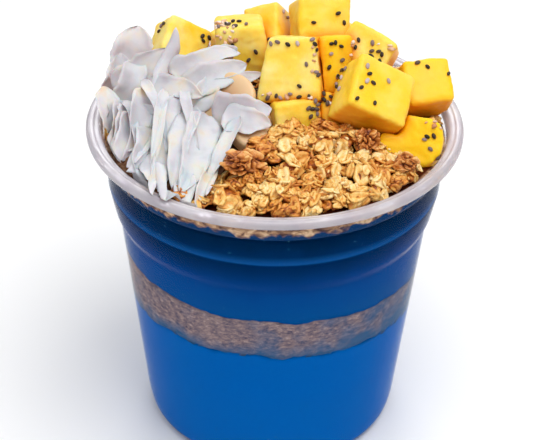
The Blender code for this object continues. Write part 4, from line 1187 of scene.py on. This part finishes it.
def scatter_tree(flake, finish):
    """Geometry Nodes: copies of a flake scattered over the faces they are given."""
    tree = bpy.data.node_groups.new("scatter_oats", "GeometryNodeTree")
    tree.interface.new_socket("Geometry", in_out="INPUT", socket_type="NodeSocketGeometry")
    tree.interface.new_socket("Spacing", in_out="INPUT", socket_type="NodeSocketFloat")
    tree.interface.new_socket("Seed", in_out="INPUT", socket_type="NodeSocketInt")
    tree.interface.new_socket("Geometry", in_out="OUTPUT", socket_type="NodeSocketGeometry")
    given = add(tree, "NodeGroupInput")
    spots = add(tree, "GeometryNodeDistributePointsOnFaces",
                {"Mesh": given.outputs["Geometry"], "Distance Min": given.outputs["Spacing"],
                 "Density Max": LOOSE_OATS_PER_SQUARE_METRE, "Seed": given.outputs["Seed"]},
                distribute_method="POISSON")
    spin = add(tree, "FunctionNodeRandomValue",
               {0: (-LOOSE_OAT_TILT, -LOOSE_OAT_TILT, 0.0),
                1: (LOOSE_OAT_TILT, LOOSE_OAT_TILT, LOOSE_OAT_TURN)}, data_type="FLOAT_VECTOR")
    shape = add(tree, "GeometryNodeObjectInfo", {"Object": flake})
    size = add(tree, "FunctionNodeRandomValue", {2: 0.45, 3: 0.95}, data_type="FLOAT")
    copied = add(tree, "GeometryNodeInstanceOnPoints",
                 {"Points": spots.outputs["Points"], "Instance": shape.outputs["Geometry"],
                  "Rotation": spin.outputs[0], "Scale": size.outputs[1]})
    base = add(tree, "FunctionNodeRandomValue", {2: 0.05, 3: 0.5}, data_type="FLOAT")
    based = add(tree, "GeometryNodeStoreNamedAttribute",
                {"Geometry": copied.outputs["Instances"], "Name": "base", "Value": base.outputs[1]},
                data_type="FLOAT", domain="INSTANCE")
    real = add(tree, "GeometryNodeRealizeInstances", {"Geometry": based.outputs["Geometry"]})
    # Each flake's own shading is added to the toasting of its copy
    toasted = add(tree, "GeometryNodeInputNamedAttribute", {"Name": "base"}, data_type="FLOAT")
    shaded = add(tree, "GeometryNodeInputNamedAttribute", {"Name": "tone"}, data_type="FLOAT")
    tone = add(tree, "ShaderNodeMath", {0: toasted.outputs["Attribute"],
                                        1: shaded.outputs["Attribute"]}, operation="ADD")
    toned = add(tree, "GeometryNodeStoreNamedAttribute",
                {"Geometry": real.outputs["Geometry"], "Name": "tone",
                 "Value": tone.outputs["Value"]}, data_type="FLOAT", domain="POINT")
    done = add(tree, "GeometryNodeSetMaterial", {"Geometry": toned.outputs["Geometry"],
                                                 "Material": finish})
    add(tree, "NodeGroupOutput", {"Geometry": done.outputs["Geometry"]})
    return tree


def make_loose_oats(solids, finish):
    """Single oats scattered over the open part of the bed."""
    bm = bmesh.new()
    step = 2.5 * MM
    count = int(BED_EDGE / step)
    corners = {}
    for i in range(-count, count + 1):
        for j in range(-count, count + 1):
            x = i * step
            y = j * step
            if math.hypot(x, y) < BED_EDGE - 2 * MM and coconut_distance(x, y) > 0.95:
                centre = Vector((x, y, bed_height(x, y)))
                if clear_of(centre, 1.2 * MM, solids):
                    corners[i, j] = bm.verts.new(centre)
    for i, j in list(corners):
        square = [corners.get(key) for key in ((i, j), (i + 1, j), (i + 1, j + 1), (i, j + 1))]
        if all(square):
            bm.faces.new(square)
    patch = object_from("loose_oats", bm, finish)
    points, faces, shades = oat_flake(1)
    flake = object_from_arrays("flake", points, faces, finish, shades)
    tree = scatter_tree(flake, finish)
    scatter = patch.modifiers.new("scatter", "NODES")
    scatter.node_group = tree
    sockets = {item.name: item.identifier for item in tree.interface.items_tree
               if item.in_out == "INPUT"}
    scatter[sockets["Spacing"]] = LOOSE_OAT_SPACING
    scatter[sockets["Seed"]] = LOOSE_OATS_SEED
    baked(patch)
    bpy.data.objects.remove(flake)
    spots = np.array([vert.co[:] for vert in patch.data.vertices])
    patch.data.vertices.foreach_set("co", pressed_to_wall(spots).ravel())
    patch.data.polygons.foreach_set("use_smooth", [True] * len(patch.data.polygons))
    return patch


def inside_mouth(point):
    """Bend a point back inside the mouth below the rim, and up off the bed."""
    above_rim = point.z >= TUB_HEIGHT + 0.8 * MM
    limit = SHRED_REACH_ABOVE_RIM if above_rim else SHRED_REACH_IN_MOUTH
    reach = math.hypot(point.x, point.y)
    if reach > limit:
        point.x *= limit / reach
        point.y *= limit / reach
    point.z = max(point.z, bed_height(point.x, point.y) + 0.8 * MM)
    return point


def add_shred(bm, base, tip, facing, width, bow, twist):
    """A thin ribbon from base to tip: cupped, twisted, ruffled and torn at its edges."""
    start = vector_mm(base)
    run = vector_mm(tip) - start
    along = run.normalized()
    flat = Vector(facing)
    flat = (flat - along * flat.dot(along)).normalized()
    side = along.cross(flat)
    key = Vector((base[0], base[1], width))
    grids = {1: [], -1: []}
    for step in range(SHRED_STEPS + 1):
        share = step / SHRED_STEPS
        angle = math.radians(twist) * (share - 0.5) * 2
        here_side = side * math.cos(angle) + flat * math.sin(angle)
        here_flat = flat * math.cos(angle) - side * math.sin(angle)
        fullness = min(share / 0.15 + 0.3, 1.0) * (1 - share ** 2.6) ** 0.6 * 1.2
        fullness = max(fullness * (1 + 0.2 * noise(Vector((share * 3, 0.0, 9.0)) + key)), 0.06)
        sway = 0.25 * width * MM * noise(Vector((share * 2, 0.0, 0.0)) + key)
        middle = start + run * share + side * sway
        middle += flat * (bow * MM * (1 - (2 * share - 1) ** 2))
        for sign in (1, -1):
            row = []
            for column in range(SHRED_ACROSS + 1):
                across = 2 * column / SHRED_ACROSS - 1
                torn = 1 + 0.14 * noise(Vector((share * 9, 2 * across, 3.0)) + key)
                half = 0.5 * width * MM * fullness * torn
                cup = 0.36 * half * (across * across - 0.4) * (1 if bow > 0 else -1)
                ruffle = 0.16 * width * MM * across * noise(Vector((share * 4, across, 7.0)) + key)
                thin = 1 - 0.8 * across ** 4
                point = middle + here_side * (half * across) + here_flat * (cup + ruffle)
                point += here_flat * (sign * thin * SHRED_THICKNESS / 2)
                row.append(bm.verts.new(inside_mouth(point)))
            grids[sign].append(row)
    for rows in grids.values():
        for lower, upper in zip(rows, rows[1:]):
            for column in range(SHRED_ACROSS):
                bm.faces.new((lower[column], lower[column + 1], upper[column + 1], upper[column]))
    borders = []
    for rows in grids.values():
        borders.append(rows[0] + [row[-1] for row in rows[1:-1]] + rows[-1][::-1]
                       + [row[0] for row in rows[-2:0:-1]])
    skin(bm, borders, closed=False)


def make_coconut_core(finish):
    """The low core under the coconut, painted dark as shade, which shows only in its gaps."""
    bm = bmesh.new()
    rings = []
    for share, rise in ((0.5, 0.0), (1.0, 0.0), (0.96, 0.1), (0.85, 0.3), (0.6, 0.5), (0.3, 0.6)):
        points = []
        for step in range(64):
            angle = 2 * math.pi * step / 64
            x = COCONUT_CENTRE.x + share * COCONUT_HALF[0] * math.cos(angle)
            y = COCONUT_CENTRE.y + share * COCONUT_HALF[1] * math.sin(angle)
            reach = math.hypot(x, y)
            if reach > SHRED_REACH_IN_MOUTH:
                x *= SHRED_REACH_IN_MOUTH / reach
                y *= SHRED_REACH_IN_MOUTH / reach
            uneven = bumps(x, y, 6 * MM, 1.2 * MM, 2.0) if rise else 0.0
            points.append(bm.verts.new((x, y, BED_LOW + rise * COCONUT_RISE + uneven)))
        rings.append(points)
    skin(bm, rings)
    core = object_from("coconut_core", bm, finish)
    # Painted shade: a tone of 0.7 turns most of the core dark brown
    mark(core, "tone", [0.7] * len(core.data.vertices))
    return core


def make_coconut(finish):
    """The coconut heap: the large shreds, and narrow ones between them that follow their lie."""
    bm = bmesh.new()
    for row in COCONUT_SHREDS:
        add_shred(bm, *row)
    rng = random.Random("shreds")
    for _ in range(SMALL_SHREDS):
        angle = rng.uniform(-math.pi, math.pi)
        share = math.sqrt(rng.uniform(0.02, 0.85))
        x = COCONUT_CENTRE.x / MM + COCONUT_HALF[0] / MM * share * math.cos(angle)
        y = COCONUT_CENTRE.y / MM + COCONUT_HALF[1] / MM * share * math.sin(angle)
        z = SMALL_SHRED_LOW + SMALL_SHRED_RISE * math.sqrt(1 - share * share) + rng.uniform(0, 2)
        if y < -8:
            lean = (rng.uniform(-6, 3), rng.uniform(-24, -12), rng.uniform(-6, 0))
            facing = (rng.uniform(-0.6, 0.8), -0.5, 0.8)
        else:
            lean = (rng.uniform(5, 18), rng.uniform(-10, 6), rng.uniform(-1, 5))
            facing = (rng.uniform(-0.4, 0.4), -0.8, 0.6)
        add_shred(bm, (x, y, z), (x + lean[0], y + lean[1], z + lean[2]), facing,
                  rng.uniform(2, 5), rng.uniform(-2.5, 2.5), rng.uniform(-40, 40))
    return object_from("coconut_shreds", bm, finish)


# The scene around it

def add_light(name, place, size, power):
    """A large soft studio light, aimed at the middle of the tub."""
    lamp = bpy.data.lights.new(name, "AREA")
    lamp.energy = power
    lamp.size = size
    thing = bpy.data.objects.new(name, lamp)
    thing.location = place
    bpy.context.scene.collection.objects.link(thing)
    direction = Vector(LIGHT_TARGET) - thing.location
    thing.rotation_euler = direction.to_track_quat("-Z", "Y").to_euler()


def make_stage():
    """A pale floor, an even white surround and soft lights."""
    finish, _, shader = new_finish("pale_floor", 0.7)
    shader.inputs["Base Color"].default_value = srgb("FCFCFC")
    bm = bmesh.new()
    bmesh.ops.create_grid(bm, x_segments=1, y_segments=1, size=3.0)
    floor = object_from("floor", bm, finish, smooth=False)
    world = bpy.data.worlds.new("studio")
    world.use_nodes = True
    surround = world.node_tree.nodes["Background"]
    surround.inputs["Color"].default_value = (1.0, 1.0, 1.0, 1.0)
    surround.inputs["Strength"].default_value = SURROUND_STRENGTH
    bpy.context.scene.world = world
    for row in LIGHTS:
        add_light(*row)
    bpy.context.scene.view_settings.view_transform = "Standard"


def make_camera():
    """The photo's camera, before any piece is made."""
    lens = bpy.data.cameras.new("camera")
    lens.lens = CAMERA_LENS
    lens.sensor_width = SENSOR
    lens.clip_start = 0.01
    camera = bpy.data.objects.new("camera", lens)
    camera.matrix_world = (Matrix.Translation(CAMERA_PLACE)
                           @ Matrix.Rotation(math.radians(90 - CAMERA_DOWN), 4, "X")
                           @ Matrix.Rotation(math.radians(CAMERA_ROLL), 4, "Z"))
    bpy.context.scene.collection.objects.link(camera)
    bpy.context.scene.camera = camera


def settle(piece, slot, *nodes):
    """A finished piece rides on the one body and stands for its nodes; its slot is not used."""
    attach(piece, "root")
    if nodes:
        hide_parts(*nodes)


def main():
    """Camera and stage first, then the tub, what fills it and what lies on top."""
    make_camera()
    make_stage()
    settle(make_tub(clear_polypropylene(), frosted_polypropylene()), "clear_plastic", "tub")
    lower_blue = blue_smoothie("lower_smoothie",
                               ((0.0, "036CC4"), (1.0, "0064BC"), (0.3, "0067C0")))
    upper_blue = blue_smoothie("upper_smoothie",
                               ((0.6, "04549C"), (0.95, "001C3E"), (0.676, "034F9C"),
                                (0.735, "01428C"), (0.82, "00356C"), (0.88, "002751")))
    floor_of_tub = FLOOR - 0.2 * MM
    lower = food_layer("smoothie_below", lambda x, y: floor_of_tub, band_bottom, lower_blue)
    settle(lower, "blue_smoothie", "smoothie_lower")
    band = food_layer("soaked_band", band_bottom, band_top, soaked_granola())
    settle(band, "soaked_granola", "granola_layer")
    upper = food_layer("smoothie_above", band_top, smoothie_top, upper_blue)
    settle(upper, "blue_smoothie", "smoothie_upper")

    flesh = mango_flesh()
    chunks = {}
    for index, row in enumerate(MANGO_CHUNKS):
        chunks[row[0]] = make_chunk(row, MANGO_CHUNKS[:index], flesh)
        settle(chunks[row[0]], "mango", row[0])
    trees = {name: search_tree(chunk) for name, chunk in chunks.items()}
    mark_closeness(chunks, trees)
    settle(make_chia(trees, seed_hulls()), "mango")
    settle(make_nut_crumbs(trees, nut_crumbs()), "mango")

    roasted = toasted_oats("roasted_walnut", ((0.0, "F0BC74"), (1.0, "2C0C04"), (0.3, "CC7E34"),
                                              (0.62, "7C360E")))
    walnuts = [make_walnut(row, roasted) for row in WALNUT_PIECES]
    for walnut, row in zip(walnuts, WALNUT_PIECES):
        settle(walnut, "walnut", row[0])
    banana = banana_flesh()
    rounds = [make_banana(row, banana) for row in BANANA_SLICES]
    for slice_of, row in zip(rounds, BANANA_SLICES):
        settle(slice_of, "banana", row[0])

    solids = [search_tree(thing) for thing in list(chunks.values()) + walnuts + rounds]
    oats = toasted_oats("toasted_oats", ((0.0, "FBDFA2"), (1.0, "4C1A06"), (0.25, "F3BF66"),
                                         (0.5, "DE9038"), (0.72, "A65418")))
    bed = bed_of_granola()
    settle(make_granola_bed(bed), "granola", "granola_heap")
    settle(make_coconut_core(bed), "granola")
    for piece in make_clusters(solids, oats, oats):
        settle(piece, "granola")
    settle(make_loose_oats(solids, oats), "granola")
    settle(make_coconut(coconut_flesh()), "coconut", "coconut_flakes")


main()
bpy.context.view_layer.update()
